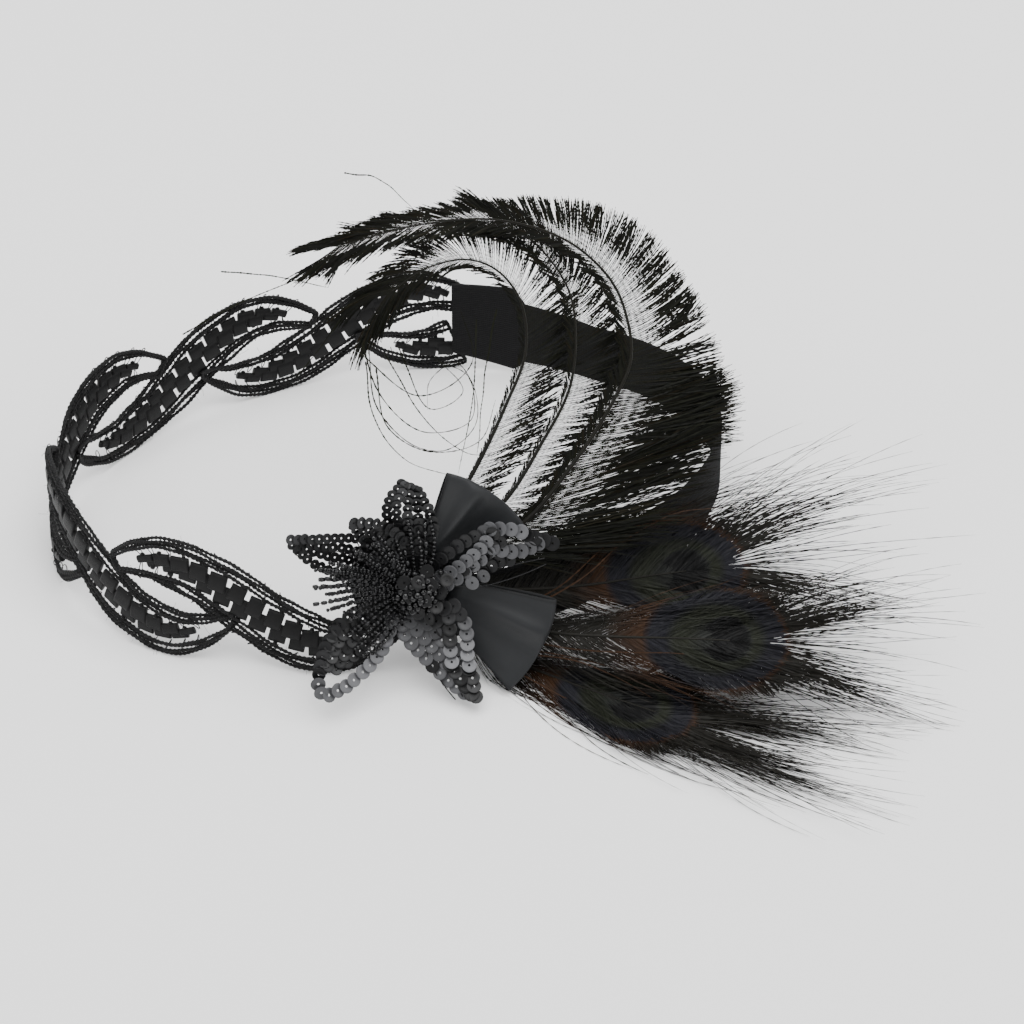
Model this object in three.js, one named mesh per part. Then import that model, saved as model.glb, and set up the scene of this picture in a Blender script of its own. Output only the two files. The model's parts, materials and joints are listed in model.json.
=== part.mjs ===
import * as THREE from 'three';
import { mergeGeometries, mergeVertices } from 'three/addons/utils/BufferGeometryUtils.js';

// Flapper headband: gimp trim and elastic loop, sequin flower, ribbon leaves and peacock feathers.
// Millimetres, Z up. The loop stands on its lower edge and leans back.

// Loop, taken along its lower edge
const loopLength = 215;
const loopDepth = 132;
const loopTurn = 12.5; // degrees from X to the long axis
const flowerTurn = 266.6; // degrees round the loop to the flower
const leanNear = 25; // degrees from upright, at the front and at the back
const leanFar = 7.5;

// Gimp trim: S-shaped leaves, each a border of cords round a chain of wrapped blocks
const trimHeight = 38;
const trimThickness = 2.2;
const leafLength = 90;
const leafWidth = 18;
const leafStart = 4; // from the flower's centre to the first leaf
const leafCount = 6;
const lastLeafShare = 0.28; // the last leaf is cut off at the elastic
const leafHook = 0.08; // share of a full wave that each tip turns back
const leafBelly = 2.6; // powers that round the leaf's outline
const leafRounding = 0.62;
const leafSides = 20;
const borderWidth = 4.4;
const chainStep = 7.6;
const chainNotch = 2;
const chainCore = 0.8; // left of the chain between facing notches, each side of its middle
const leastInner = 1.2; // no notches where the chain is narrower, each side of its middle

// Elastic, from under the last leaves round to the flower
const elasticThickness = 1.2;
const elasticEnd = 4; // short of the flower's centre
const elasticSteps = 44;
const elasticGap = 2.5; // from the last leaf's cut end to the elastic's
const clearance = 0.35; // between pieces that touch
// Share of the elastic's run, its edges as shares of the trim's height, and how many layers
// inside the trim it lies
const elasticRows = [
  { run: 0, bottom: 0.18, top: 0.9, inside: 1 },
  { run: 0.085, bottom: 0.02, top: 0.86, inside: 1 },
  { run: 0.1, bottom: 0.12, top: 0.72, inside: 1.6 },
  { run: 0.2, bottom: 0.04, top: 0.58, inside: 1.2 },
  { run: 0.5, bottom: 0.06, top: 0.62, inside: 1 },
  { run: 0.85, bottom: 0.13, top: 0.66, inside: 1 },
  { run: 0.93, bottom: 0.16, top: 0.68, inside: 0 },
  { run: 1, bottom: 0.2, top: 0.72, inside: 0 },
];

// Ornament, built on a felt pad inside the band
const flowerHeight = 27.5; // up the band to the flower's centre
const padRadius = 19;
const padThickness = 1.7;
const quillDiameter = 1.8;
const quillSeat = 8; // from the flower's centre to the quills' ends
const flowerBackRadius = 10;
const flowerBackThickness = 2.8;
const beadCentreRadius = 6;
const beadCentreHeight = 5;
const beadCentreSides = 14;
const beadCentreRows = [
  { out: 0.94, up: 0.45 },
  { out: 0.6, up: 0.85 },
  { out: 0, up: 1 },
];

// Sequin petals: angle from the right, then length, half width and how far the tip stands out,
// as shares of the flower's reach, and the layer that the petal is sewn in
const flowerReach = 44;
const sequinPitch = 3.9;
const petalThickness = 0.9;
const petalStart = 4.5;
const petals = [
  { name: 'petal_up', angle: 97, length: 0.8, half: 0.18, lift: 0.1, layer: 0 },
  { name: 'petal_upper_left', angle: 131, length: 0.68, half: 0.14, lift: 0.18, layer: 1 },
  { name: 'petal_left', angle: 157, length: 0.96, half: 0.15, lift: 0.06, layer: 0 },
  { name: 'petal_lower_left', angle: 219, length: 0.76, half: 0.135, lift: 0.18, layer: 0 },
  { name: 'sequin_string', angle: 235, length: 0.98, half: 0.08, lift: 0.26, layer: 1 },
  { name: 'petal_low', angle: 291, length: 0.84, half: 0.22, lift: 0.3, layer: 0 },
  { name: 'petal_right', angle: 15, length: 0.96, half: 0.2, lift: 0.2, layer: 0 },
];
const petalBase = 0.16; // a petal's edge is part of a half wave, from this share of it
const petalSweep = 0.8;
const petalNarrow = 0.45; // half width near the base for each unit out from the flower's centre
const riseBend = 1.5; // petals and ribbon ends rise by this power of the way out
const scallopShare = 0.28; // height of a sequin's bump on the edge, as a share of the pitch
// Strings of beads that hang side by side from one edge
const fringe = { name: 'bead_fringe', angle: 188, length: 0.68, half: 0.14, lift: 0.26, layer: 1 };
const fringeStrings = 5;
const fringeShorter = 0.12; // every other string is shorter by this share
const fringeGather = 0.35; // width at the neck, as a share of the width at the ends
const stringGather = 0.6;

// Ribbon leaves: angle, then length, width at the base and at the end, how far the fold opens
// and how far the end stands out, as shares of the flower's reach
const ribbonThickness = 1;
const ribbonSpread = 0.7; // the power of the wave by which a ribbon widens
const ribbonSteps = 14;
const ribbonLeaves = [
  { name: 'ribbon_leaf_upper', angle: 52, length: 0.61, base: 0.25, end: 0.68, open: 0.055, lift: 0.023 },
  { name: 'ribbon_leaf_lower', angle: -27, length: 0.7, base: 0.27, end: 0.73, open: 0.059, lift: 0.205 },
];

// Peacock feathers. Paths, lengths and the lowest height are shares of a reach; a path goes
// across the ornament, up it and out of it. Locks of barbs leave a feather at an angle that
// falls from its base to its tip.
const lockWidth = 4.2;
const lockGap = 1.2;
const lockDepth = 0.5; // thickness at a lock's tip
const lockTaper = 0.25; // width at the tip, as a share of the root's
const lockSteps = 3;
const leastRoot = 0.15; // how far a lock's root faces along the lock, at the least
const eyeReach = 90;
const eyeLength = 44;
const eyeWidth = 33;
const eyeBack = 5; // from the quill's end back to the eye's edge
const eyeFeathers = [
  {
    name: 'eye_feather_upper', seat: 0, tilt: 66, low: 0.13,
    path: [[0.288, -0.045, 0.027], [0.58, -0.051, 0.024], [0.812, -0.033, 0.02],
      [1.112, -0.001, 0.041]],
  },
  {
    name: 'eye_feather_middle', seat: -25, tilt: 66, low: 0.08,
    path: [[0.249, -0.14, 0.038], [0.432, -0.176, 0.108], [0.622, -0.177, 0.181],
      [0.912, -0.173, 0.262], [1.207, -0.186, 0.324]],
  },
  {
    name: 'eye_feather_lower', seat: -50, tilt: 90, low: 0.022,
    path: [[0.2, -0.215, 0.036], [0.31, -0.28, 0.07], [0.49, -0.34, 0.18],
      [0.92, -0.47, 0.43]],
  },
];
const eyeLocks = {
  first: 0.38, rootAngle: 36, tipAngle: 14, rootLength: 0.36, tipLength: 0.64, sweep: 0.12,
};

const swordReach = 115;
const swordStep = 3; // between the planes of neighbouring sword feathers
const swordBack = 0.23; // how far the plumes lean back for each unit of height
const swordBackFrom = 14; // above the flower's centre, clear of the band
const swordSettle = 40; // height at which the plumes have parted into their own planes
const swordLocks = { angle: 50, sweep: 0.2 };
const swordFeathers = [
  {
    name: 'sword_feather_inner', seat: 75, plane: 0, outer: 0.09, inner: 0.055, first: 0.45,
    path: [[0.17, 0.28], [0.26, 0.44], [0.32, 0.58], [0.31, 0.71], [0.25, 0.79], [0.17, 0.82],
      [0.06, 0.8], [-0.04, 0.74]],
  },
  {
    name: 'sword_feather_middle', seat: 50, plane: 1, outer: 0.11, inner: 0.07, first: 0.3,
    path: [[0.24, 0.2], [0.35, 0.35], [0.43, 0.49], [0.45, 0.65], [0.43, 0.75], [0.35, 0.86],
      [0.25, 0.92]],
  },
  {
    name: 'sword_feather_outer', seat: 25, plane: 2, outer: 0.24, inner: 0.08, first: 0.37,
    path: [[0.29, 0.15], [0.42, 0.29], [0.53, 0.44], [0.59, 0.56], [0.58, 0.68], [0.54, 0.77],
      [0.43, 0.87], [0.25, 0.93], [0.04, 0.925], [-0.17, 0.88]],
  },
];
const quillTaper = 0.6; // share of its thickness that a quill loses by its tip

const radians = THREE.MathUtils.degToRad;
const headband = new THREE.Group();

// Removes normals and uvs, joins shared corners and turns every face outward
function solid(geometry) {
  geometry.deleteAttribute('normal');
  geometry.deleteAttribute('uv');
  const merged = mergeVertices(geometry, 1e-4);
  const at = merged.getAttribute('position');
  const index = merged.getIndex();
  const corner = [0, 1, 2].map(() => new THREE.Vector3());
  let volume = 0;
  for (let i = 0; i < index.count; i += 3) {
    corner.forEach((c, k) => c.fromBufferAttribute(at, index.getX(i + k)));
    volume += corner[0].dot(corner[1].clone().cross(corner[2]));
  }
  if (volume < 0) {
    for (let i = 0; i < index.count; i += 3) {
      const second = index.getX(i + 1);
      index.setX(i + 1, index.getX(i + 2));
      index.setX(i + 2, second);
    }
  }
  return merged;
}

// Moves each corner of a geometry to the place that a function gives for it
function bend(geometry, place) {
  const at = geometry.getAttribute('position');
  for (let i = 0; i < at.count; i += 1) {
    const p = place(at.getX(i), at.getY(i), at.getZ(i));
    at.setXYZ(i, p.x, p.y, p.z);
  }
  return solid(geometry);
}

// Joins pieces that share whole faces, given as lists of corners, into one body
function graft(pieces, sharedFaces) {
  const joined = solid(mergeGeometries(pieces));
  const at = joined.getAttribute('position');
  const index = joined.getIndex();
  const corners = Array.from({ length: at.count },
    (_, i) => new THREE.Vector3().fromBufferAttribute(at, i));
  const shared = sharedFaces.map((face) => new Set(
    face.map((spot) => corners.findIndex((corner) => corner.distanceTo(spot) < 1e-3))));
  const kept = [];
  for (let i = 0; i < index.count; i += 3) {
    const face = [0, 1, 2].map((k) => index.getX(i + k));
    if (!shared.some((set) => face.every((corner) => set.has(corner)))) kept.push(...face);
  }
  joined.setIndex(kept);
  return joined;
}

function add(parent, name, geometry, colour, roughness) {
  const material = new THREE.MeshStandardMaterial({ color: colour, roughness, metalness: 0 });
  const mesh = new THREE.Mesh(geometry, material);
  mesh.name = name;
  parent.add(mesh);
  return mesh;
}

// A value between the rows of a table, by the column that measures along
function between(rows, along, share, column) {
  const next = Math.max(1, rows.findIndex((row) => row[along] >= share));
  const a = rows[next - 1];
  const b = rows[next];
  return THREE.MathUtils.mapLinear(share, a[along], b[along], a[column], b[column]);
}

// The loop's lower edge, from the flower leftwards round to the flower again
const baseLine = new THREE.EllipseCurve(
  0, 0, loopLength / 2, loopDepth / 2,
  radians(flowerTurn), radians(flowerTurn - 360), true, radians(loopTurn),
);
baseLine.arcLengthDivisions = 720;
const loopRun = baseLine.getLength();

// Axes of the band at a distance along the loop: place, along, up the band and out of it
function bandAxes(along) {
  const share = THREE.MathUtils.euclideanModulo(along / loopRun, 1);
  const spot = baseLine.getPointAt(share);
  const tangent = baseLine.getTangentAt(share);
  const towardBack = Math.sin(Math.atan2(spot.y, spot.x));
  const lean = radians(THREE.MathUtils.mapLinear(towardBack, -1, 1, leanNear, leanFar));
  const up = new THREE.Vector3(0, Math.sin(lean), Math.cos(lean));
  const run = new THREE.Vector3(tangent.x, tangent.y, 0);
  const out = up.clone().cross(run).normalize();
  return { place: new THREE.Vector3(spot.x, spot.y, 0), run, up, out };
}

function onBand(along, height, out) {
  const axes = bandAxes(along);
  return axes.place.addScaledVector(axes.up, height).addScaledVector(axes.out, out);
}

// One trim leaf in the flat: x along the loop, y up the band
const leafWave = (x) => Math.sin(2 * Math.PI * (leafHook + (1 - 2 * leafHook) * x));
const leafHalf = (x) => (leafWidth / 2)
  * (1 - Math.abs(2 * x - 1) ** leafBelly) ** leafRounding;
const leafShares = Array.from({ length: 41 }, (_, i) => i / 40);
// The swing that brings the leaf's edges to the band's edges
const leafSwing = Math.min(...leafShares.filter((x) => leafWave(x) > 0.5)
  .map((x) => (trimHeight / 2 - leafHalf(x)) / leafWave(x)));

function leafPoint(x, offset) {
  const middle = (share) => trimHeight / 2 - leafSwing * leafWave(share);
  const step = 0.001;
  const slope = Math.atan2(middle(x + step) - middle(x - step), 2 * step * leafLength);
  return new THREE.Vector2(
    x * leafLength - offset * Math.sin(slope), middle(x) + offset * Math.cos(slope));
}

function leafPlan(cut) {
  const shares = Array.from({ length: leafSides + 1 },
    (_, i) => Math.min(cut, (1 - Math.cos((Math.PI * i) / leafSides)) / 2));
  const used = shares.filter((x, i) => i === 0 || x > shares[i - 1]);
  const lower = used.map((x) => leafPoint(x, -leafHalf(x)));
  const upper = used.slice(1, cut < 1 ? undefined : -1).reverse()
    .map((x) => leafPoint(x, leafHalf(x)));
  const plan = new THREE.Shape([...lower, ...upper]);
  const step = chainStep / leafLength;
  for (let x = step; x < cut - step / 2; x += step) {
    for (const side of [-1, 1]) {
      const middle = x + (side * step) / 4;
      const inner = (share) => leafHalf(share) - borderWidth;
      const narrow = Math.min(inner(middle - step / 3), inner(middle + step / 3));
      if (narrow > leastInner) {
        const notch = Math.min(chainNotch, inner(middle) - chainCore);
        plan.holes.push(new THREE.Path([
          leafPoint(middle - step / 3, side * inner(middle - step / 3)),
          leafPoint(middle + step / 3, side * inner(middle + step / 3)),
          leafPoint(middle, side * (inner(middle) - notch)),
        ]));
      }
    }
  }
  return plan;
}

// The pitch at which each leaf's tip comes up against the edge of the leaf before it
const leafEdge = (side) => leafShares.map((x) => leafPoint(x, side * leafHalf(x)));
const lowerEdge = leafEdge(-1);
const upperEdge = leafEdge(1);

function heightOn(edge, along) {
  const next = Math.max(1, edge.findIndex((p) => p.x >= along));
  const [a, b] = [edge[next - 1], edge[next]];
  return THREE.MathUtils.mapLinear(along, a.x, b.x, a.y, b.y);
}

function leafClearance(pitch) {
  const over = upperEdge.filter((p) => p.x + pitch < leafLength);
  return Math.min(...over.map((p) => heightOn(lowerEdge, p.x + pitch) - p.y));
}

let leafPitch = leafLength / 2;
while (leafClearance(leafPitch) < 2 * clearance) leafPitch += 0.1;

for (let i = 0; i < leafCount; i += 1) {
  const cut = i === leafCount - 1 ? lastLeafShare : 1;
  const flat = new THREE.ExtrudeGeometry(leafPlan(cut), {
    depth: trimThickness, bevelEnabled: false, steps: 1, curveSegments: 1,
  });
  const start = leafStart + i * leafPitch;
  add(headband, `trim_leaf_${i + 1}`, bend(flat, (x, y, z) => onBand(start + x, y, z)), 0x161616, 0.75);
}

// Elastic strip
const elasticStart = leafStart + (leafCount - 1) * leafPitch + lastLeafShare * leafLength + elasticGap;
const elasticRun = loopRun - elasticStart - elasticEnd;
const elasticStrip = new THREE.BoxGeometry(1, 1, elasticThickness, elasticSteps, 1, 1);
add(headband, 'elastic', bend(elasticStrip, (x, y, z) => {
  const share = x + 0.5;
  const bottom = between(elasticRows, 'run', share, 'bottom') * trimHeight;
  const top = between(elasticRows, 'run', share, 'top') * trimHeight;
  const inside = between(elasticRows, 'run', share, 'inside') * (elasticThickness + clearance);
  return onBand(elasticStart + share * elasticRun, bottom + (y + 0.5) * (top - bottom),
    z + elasticThickness / 2 - inside);
}), 0x1b1b1b, 0.85);

// The ornament's own frame: x to the right, y up the band, z out of it
const ornament = new THREE.Group();
const flowerAxes = bandAxes(0);
const right = flowerAxes.run.clone().negate();
right.crossVectors(flowerAxes.up, flowerAxes.out).normalize();
ornament.quaternion.setFromRotationMatrix(
  new THREE.Matrix4().makeBasis(right, flowerAxes.up, flowerAxes.out));
ornament.position.copy(onBand(0, flowerHeight, 0));
ornament.updateMatrix();
headband.add(ornament);

function disc(name, radius, thickness, inner, colour) {
  const round = new THREE.CylinderGeometry(radius, radius, thickness, 40);
  round.rotateX(Math.PI / 2);
  add(ornament, name, solid(round), colour, 0.9).position.z = inner + thickness / 2;
}

// Felt pad on the head's side, clear of the band's inner face all over
const toOrnament = ornament.matrix.clone().invert();
const bandBehind = Math.min(...[-1, 1].flatMap((side) => [0, 0.5, 1].map((share) => onBand(
  side * padRadius, share * trimHeight, 0).applyMatrix4(toOrnament).z)));
disc('felt_pad', padRadius, padThickness, bandBehind - clearance - padThickness, 0x141414);

const quillLayer = elasticThickness + clearance + quillDiameter / 2;
const backLayer = quillLayer + quillDiameter / 2 + clearance;
disc('flower_back', flowerBackRadius, flowerBackThickness, backLayer, 0x121212);

// Petals: a scalloped plate of sequins, curved out of the flower's plane
const petalLayer = backLayer + flowerBackThickness + clearance;
const layerStep = petalThickness + clearance;
const scallop = sequinPitch * scallopShare;

function petalPlan(length, half) {
  const steps = Math.max(4, Math.round((length - petalStart) / sequinPitch)) * 3;
  const edge = (share) => half
    * Math.sin(Math.PI * (petalBase + petalSweep * share)) ** petalSweep;
  const side = [];
  for (let i = 0; i <= steps; i += 1) {
    const bump = i % 3 === 0 ? 0 : scallop;
    const along = petalStart + (length - petalStart) * (i / steps);
    side.push(new THREE.Vector2(along, Math.min(edge(i / steps) + bump, petalNarrow * along)));
  }
  const mirrored = side.map((p) => new THREE.Vector2(p.x, -p.y));
  return new THREE.Shape([...mirrored, ...side.reverse()]);
}

function fringePlan(length, half) {
  const points = [];
  const neck = petalStart + sequinPitch;
  const thickest = half / fringeStrings / 4;
  for (let i = 0; i < fringeStrings; i += 1) {
    const aim = THREE.MathUtils.mapLinear(i, 0, fringeStrings - 1, -half, half);
    const reach = length * (1 - fringeShorter * (i % 2));
    const thick = half / fringeStrings / 2;
    points.push([neck, aim * fringeGather - thick * stringGather], [reach, aim - thick],
      [reach, aim + thick], [neck, aim * fringeGather + thick * stringGather]);
  }
  const seam = half * fringeGather - thickest;
  points.push([petalStart, seam], [petalStart, -seam]);
  return new THREE.Shape(points.map(([x, y]) => new THREE.Vector2(x, y)));
}

function petalSolid(plan, petal) {
  const flat = new THREE.ExtrudeGeometry(plan, {
    depth: petalThickness, bevelEnabled: false, steps: 1, curveSegments: 1,
  });
  const turn = radians(petal.angle);
  const length = petal.length * flowerReach;
  return bend(flat, (x, y, z) => {
    const rise = petal.lift * flowerReach * (x / length) ** riseBend;
    return new THREE.Vector3(
      x * Math.cos(turn) - y * Math.sin(turn),
      x * Math.sin(turn) + y * Math.cos(turn),
      petalLayer + petal.layer * layerStep + z + rise);
  });
}

for (const petal of petals) {
  const plan = petalPlan(petal.length * flowerReach, petal.half * flowerReach);
  add(ornament, petal.name, petalSolid(plan, petal), 0x2a2a2c, 0.3);
}
const strings = fringePlan(fringe.length * flowerReach, fringe.half * flowerReach);
add(ornament, fringe.name, petalSolid(strings, fringe), 0x101012, 0.3);

// Bead centre, a domed cluster over the petals' inner ends
const dome = new THREE.LatheGeometry([
  new THREE.Vector2(0, 0),
  new THREE.Vector2(beadCentreRadius, 0),
  ...beadCentreRows.map((row) => new THREE.Vector2(
    beadCentreRadius * row.out, beadCentreHeight * row.up)),
], beadCentreSides);
dome.rotateX(Math.PI / 2);
const beadLayer = petalLayer + 2 * layerStep + fringe.lift * flowerReach
  * (beadCentreRadius / (fringe.length * flowerReach)) ** riseBend;
add(ornament, 'bead_centre', solid(dome), 0x0e0e10, 0.2).position.z = beadLayer;

// Ribbon leaves: a strip that runs out from the flower, folds over and runs back
function ribbonLeaf(leaf) {
  const start = flowerBackRadius + clearance;
  const strip = new THREE.BoxGeometry(1, 1, ribbonThickness, ribbonSteps, 1, 1);
  const turn = radians(leaf.angle);
  const innerGap = flowerBackThickness - 2 * ribbonThickness - clearance;
  const sized = (share) => share * flowerReach;
  return bend(strip, (x, y, z) => {
    // share runs 0 to 1 outward on the lower layer and back on the upper one
    const half = (x + 0.5) * Math.PI;
    const share = Math.sin(half) ** ribbonSpread;
    const opened = sized(leaf.open) * share * share;
    const spread = innerGap / 2 + opened;
    const level = -Math.cos(half) * (spread + ribbonThickness / 2);
    const outward = new THREE.Vector2(
      -Math.sin(half) * spread, (Math.cos(half) * sized(leaf.length)) / 2).normalize();
    const along = start + sized(leaf.length) * share + z * Math.sin(half) ** 6;
    const width = sized(THREE.MathUtils.lerp(leaf.base, leaf.end, share));
    const layer = backLayer + ribbonThickness + spread + sized(leaf.lift) * share ** riseBend;
    const thick = -z * Math.sign(Math.cos(half) || 1) * Math.abs(outward.y);
    return new THREE.Vector3(
      along * Math.cos(turn) - y * width * Math.sin(turn),
      along * Math.sin(turn) + y * width * Math.cos(turn),
      layer + level + thick);
  });
}
for (const leaf of ribbonLeaves) {
  add(ornament, leaf.name, ribbonLeaf(leaf), 0x232324, 0.45);
}

// A feather is one strip along a curve, as wide as the quill or the eye, and a lock of barbs
// grows from every other stretch of its edges
function feather(curve, face, { halfWidth, halfDepth, first, low, lockAt }) {
  const length = curve.getLength();
  const count = Math.floor((length - first) / (lockWidth + lockGap));
  const pitch = (length - first) / count;
  const stops = [0, first / 2];
  for (let i = 0; i < count; i += 1) {
    stops.push(first + i * pitch, first + i * pitch + (pitch * lockWidth) / (lockWidth + lockGap));
  }
  const axesAt = (run) => {
    const share = Math.min(run / length, 1);
    const along = curve.getTangentAt(share);
    const side = face.clone().cross(along).normalize();
    return { place: curve.getPointAt(share), along, side, face: along.clone().cross(side) };
  };
  const edge = (stop, y, z) => {
    const axes = axesAt(stops[stop]);
    const p = axes.place.addScaledVector(axes.side, y * 2 * halfWidth(stops[stop], length));
    p.z = Math.max(p.z, low);
    return p.addScaledVector(axes.face, z * 2 * halfDepth(stops[stop], length));
  };
  const last = stops.length - 1;
  const strip = bend(new THREE.BoxGeometry(1, 1, 1, last, 1, 1),
    (x, y, z) => edge(Math.round((x + 0.5) * last), y, z));
  const pieces = [strip];
  const roots = [];
  for (let i = 0; i < count; i += 1) {
    const stop = 2 + 2 * i;
    const run = (stops[stop] + stops[stop + 1]) / 2;
    const axes = axesAt(run);
    for (const side of [-1, 1]) {
      const { angle, reach, sweep } = lockAt(run / length, side);
      const root = edge(stop, side / 2, 0).add(edge(stop + 1, side / 2, 0)).multiplyScalar(0.5);
      const spot = (u) => {
        const p = root.clone()
          .addScaledVector(axes.side, side * reach * Math.sin(angle) * u * (1 - sweep * u))
          .addScaledVector(axes.along, reach * (Math.cos(angle) * u + sweep * u * u * 0.5));
        p.z = Math.max(p.z, low);
        return p;
      };
      const acrossAt = (u) => {
        const heading = spot(u + 0.01).sub(spot(u - 0.01));
        return axes.face.clone().cross(heading).normalize().multiplyScalar(-side);
      };
      // No lock grows where the eye widens faster than a lock leaves it
      const rootRun = edge(stop + 1, side / 2, 0).sub(edge(stop, side / 2, 0)).normalize();
      if (rootRun.dot(acrossAt(0)) < leastRoot) continue;
      pieces.push(bend(new THREE.BoxGeometry(1, 1, 1, lockSteps, 1, 1), (x, y, z) => {
        const u = x + 0.5;
        if (u === 0) return edge(stop + (y > 0 ? 1 : 0), side / 2, z);
        const across = acrossAt(u);
        const width = lockWidth * Math.sin(angle) * THREE.MathUtils.lerp(1, lockTaper, u);
        const depth = THREE.MathUtils.lerp(2 * halfDepth(run, length), lockDepth, u);
        return spot(u).addScaledVector(across, y * width).addScaledVector(axes.face, z * depth);
      }));
      roots.push([0, 1].flatMap((k) => [-0.5, 0.5].map((z) => edge(stop + k, side / 2, z))));
    }
  }
  return graft(pieces, roots);
}

const quillHalf = (run, length) => (quillDiameter / 2) * (1 - (quillTaper * run) / length);

// The quills of the eye feathers start in the ornament, and their vanes face the sky
function eyeFeather({ seat, tilt, low, path }) {
  const turn = radians(seat);
  const points = [[quillSeat * Math.cos(turn), quillSeat * Math.sin(turn), quillLayer],
    ...path.map((row) => row.map((share) => share * eyeReach))];
  const curve = new THREE.CatmullRomCurve3(
    points.map((p) => new THREE.Vector3(...p).applyMatrix4(ornament.matrix)));
  const face = new THREE.Vector3(0, -Math.cos(radians(tilt)), Math.sin(radians(tilt)));
  const halfWidth = (run, length) => {
    const fromMiddle = (run - (length - eyeBack - eyeLength / 2)) / (eyeLength / 2);
    const eye = Math.sqrt(Math.max(0, 1 - fromMiddle * fromMiddle)) * (eyeWidth / 2);
    return Math.max(quillHalf(run, length), eye);
  };
  const lockAt = (share) => ({
    angle: radians(THREE.MathUtils.lerp(eyeLocks.rootAngle, eyeLocks.tipAngle, share)),
    reach: THREE.MathUtils.lerp(eyeLocks.rootLength, eyeLocks.tipLength, share) * eyeReach,
    sweep: eyeLocks.sweep,
  });
  return feather(curve, face, {
    halfWidth, halfDepth: quillHalf, first: eyeLocks.first * eyeReach, low: low * eyeReach, lockAt,
  });
}
for (const plume of eyeFeathers) {
  add(headband, plume.name, eyeFeather(plume), 0x1d1a16, 0.6);
}

// The sword feathers rise from the flower and curl back over the loop
function swordFeather({ seat, plane, outer, inner, first, path }) {
  const turn = radians(seat);
  const shift = (plane - 1) * swordStep;
  const start = new THREE.Vector3(quillSeat * Math.cos(turn), quillSeat * Math.sin(turn), quillLayer);
  const points = path.map(([x, y]) => {
    const up = y * swordReach;
    const back = swordBack * Math.max(0, up - swordBackFrom);
    return new THREE.Vector3(x * swordReach, up, quillLayer - back + shift * Math.min(1, up / swordSettle));
  });
  const curve = new THREE.CatmullRomCurve3([start, ...points]);
  const face = new THREE.Vector3(0, swordBack, 1).normalize();
  const lockAt = (share, side) => ({
    angle: radians(swordLocks.angle),
    reach: (side < 0 ? outer : inner) * swordReach,
    sweep: swordLocks.sweep,
  });
  return feather(curve, face, {
    halfWidth: quillHalf, halfDepth: quillHalf, first: first * swordReach, low: -Infinity, lockAt,
  });
}
for (const plume of swordFeathers) {
  add(ornament, plume.name, swordFeather(plume), 0x171714, 0.65);
}

// Stands the headband on the floor, centred over the origin
headband.updateMatrixWorld(true);
const box = new THREE.Box3().setFromObject(headband, true);
const middle = box.getCenter(new THREE.Vector3());
headband.position.set(-middle.x, -middle.y, -box.min.z);

export default headband;
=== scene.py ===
import json
import math

import bpy
import numpy as np
from bpy.props import FloatProperty, FloatVectorProperty, IntProperty, PointerProperty
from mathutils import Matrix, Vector

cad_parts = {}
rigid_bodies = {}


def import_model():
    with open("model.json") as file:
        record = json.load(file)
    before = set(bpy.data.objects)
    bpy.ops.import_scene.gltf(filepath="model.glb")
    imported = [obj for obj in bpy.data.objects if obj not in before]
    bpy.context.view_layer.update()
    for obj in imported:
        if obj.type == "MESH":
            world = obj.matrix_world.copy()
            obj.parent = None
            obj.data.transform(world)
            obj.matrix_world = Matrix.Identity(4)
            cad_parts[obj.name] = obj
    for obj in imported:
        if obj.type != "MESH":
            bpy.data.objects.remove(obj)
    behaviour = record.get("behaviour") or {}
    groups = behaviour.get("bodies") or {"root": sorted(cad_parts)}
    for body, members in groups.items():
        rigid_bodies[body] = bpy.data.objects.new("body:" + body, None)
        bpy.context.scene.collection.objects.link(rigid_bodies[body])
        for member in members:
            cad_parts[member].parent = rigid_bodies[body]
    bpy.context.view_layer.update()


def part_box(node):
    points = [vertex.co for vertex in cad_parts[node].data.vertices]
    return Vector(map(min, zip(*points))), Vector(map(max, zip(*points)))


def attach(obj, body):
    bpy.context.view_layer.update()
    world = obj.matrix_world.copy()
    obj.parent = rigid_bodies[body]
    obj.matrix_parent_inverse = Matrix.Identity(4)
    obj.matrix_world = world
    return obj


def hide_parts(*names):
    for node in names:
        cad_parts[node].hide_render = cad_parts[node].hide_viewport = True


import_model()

bl_info = {
    "name": "Flapper Feather Headband",
    "version": (1, 0, 0),
    "blender": (4, 5, 0),
    "location": "3D View > Sidebar > Headband",
    "description": "Makes a headband of gimp trim, elastic, sequins, ribbon and peacock feathers",
    "category": "Add Mesh",
}

MM = 0.001
LOWEST = 0.05 * MM  # every piece stays this far above the floor

# The loop's lower edge is an ellipse that starts at the flower and runs leftwards
LOOP_LENGTH = 215 * MM
LOOP_DEPTH = 132 * MM
LOOP_TURN = math.radians(12.5)
LOOP_POINTS_ROUND = 2881
FLOWER_TURN = math.radians(266.6)
LEAN_NEAR = math.radians(25)
LEAN_FAR = math.radians(7.5)

# Scrolled leaves of the trim
TRIM_HEIGHT = 38 * MM
TRIM_THICKNESS = 2.2 * MM
LEAF_LENGTH = 90 * MM
LEAF_WIDTH = 18 * MM
LEAF_START = 4 * MM
LEAF_COUNT = 6
LAST_LEAF_SHARE = 0.28
LEAF_HOOK = 0.08
LEAF_BELLY = 2.6
LEAF_ROUNDING = 0.62
CLEARANCE = 0.35 * MM
TAIL = 0.055  # share of a leaf's length by which its cords run on past each tip
THREAD_HALF = 10.2 * MM

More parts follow.
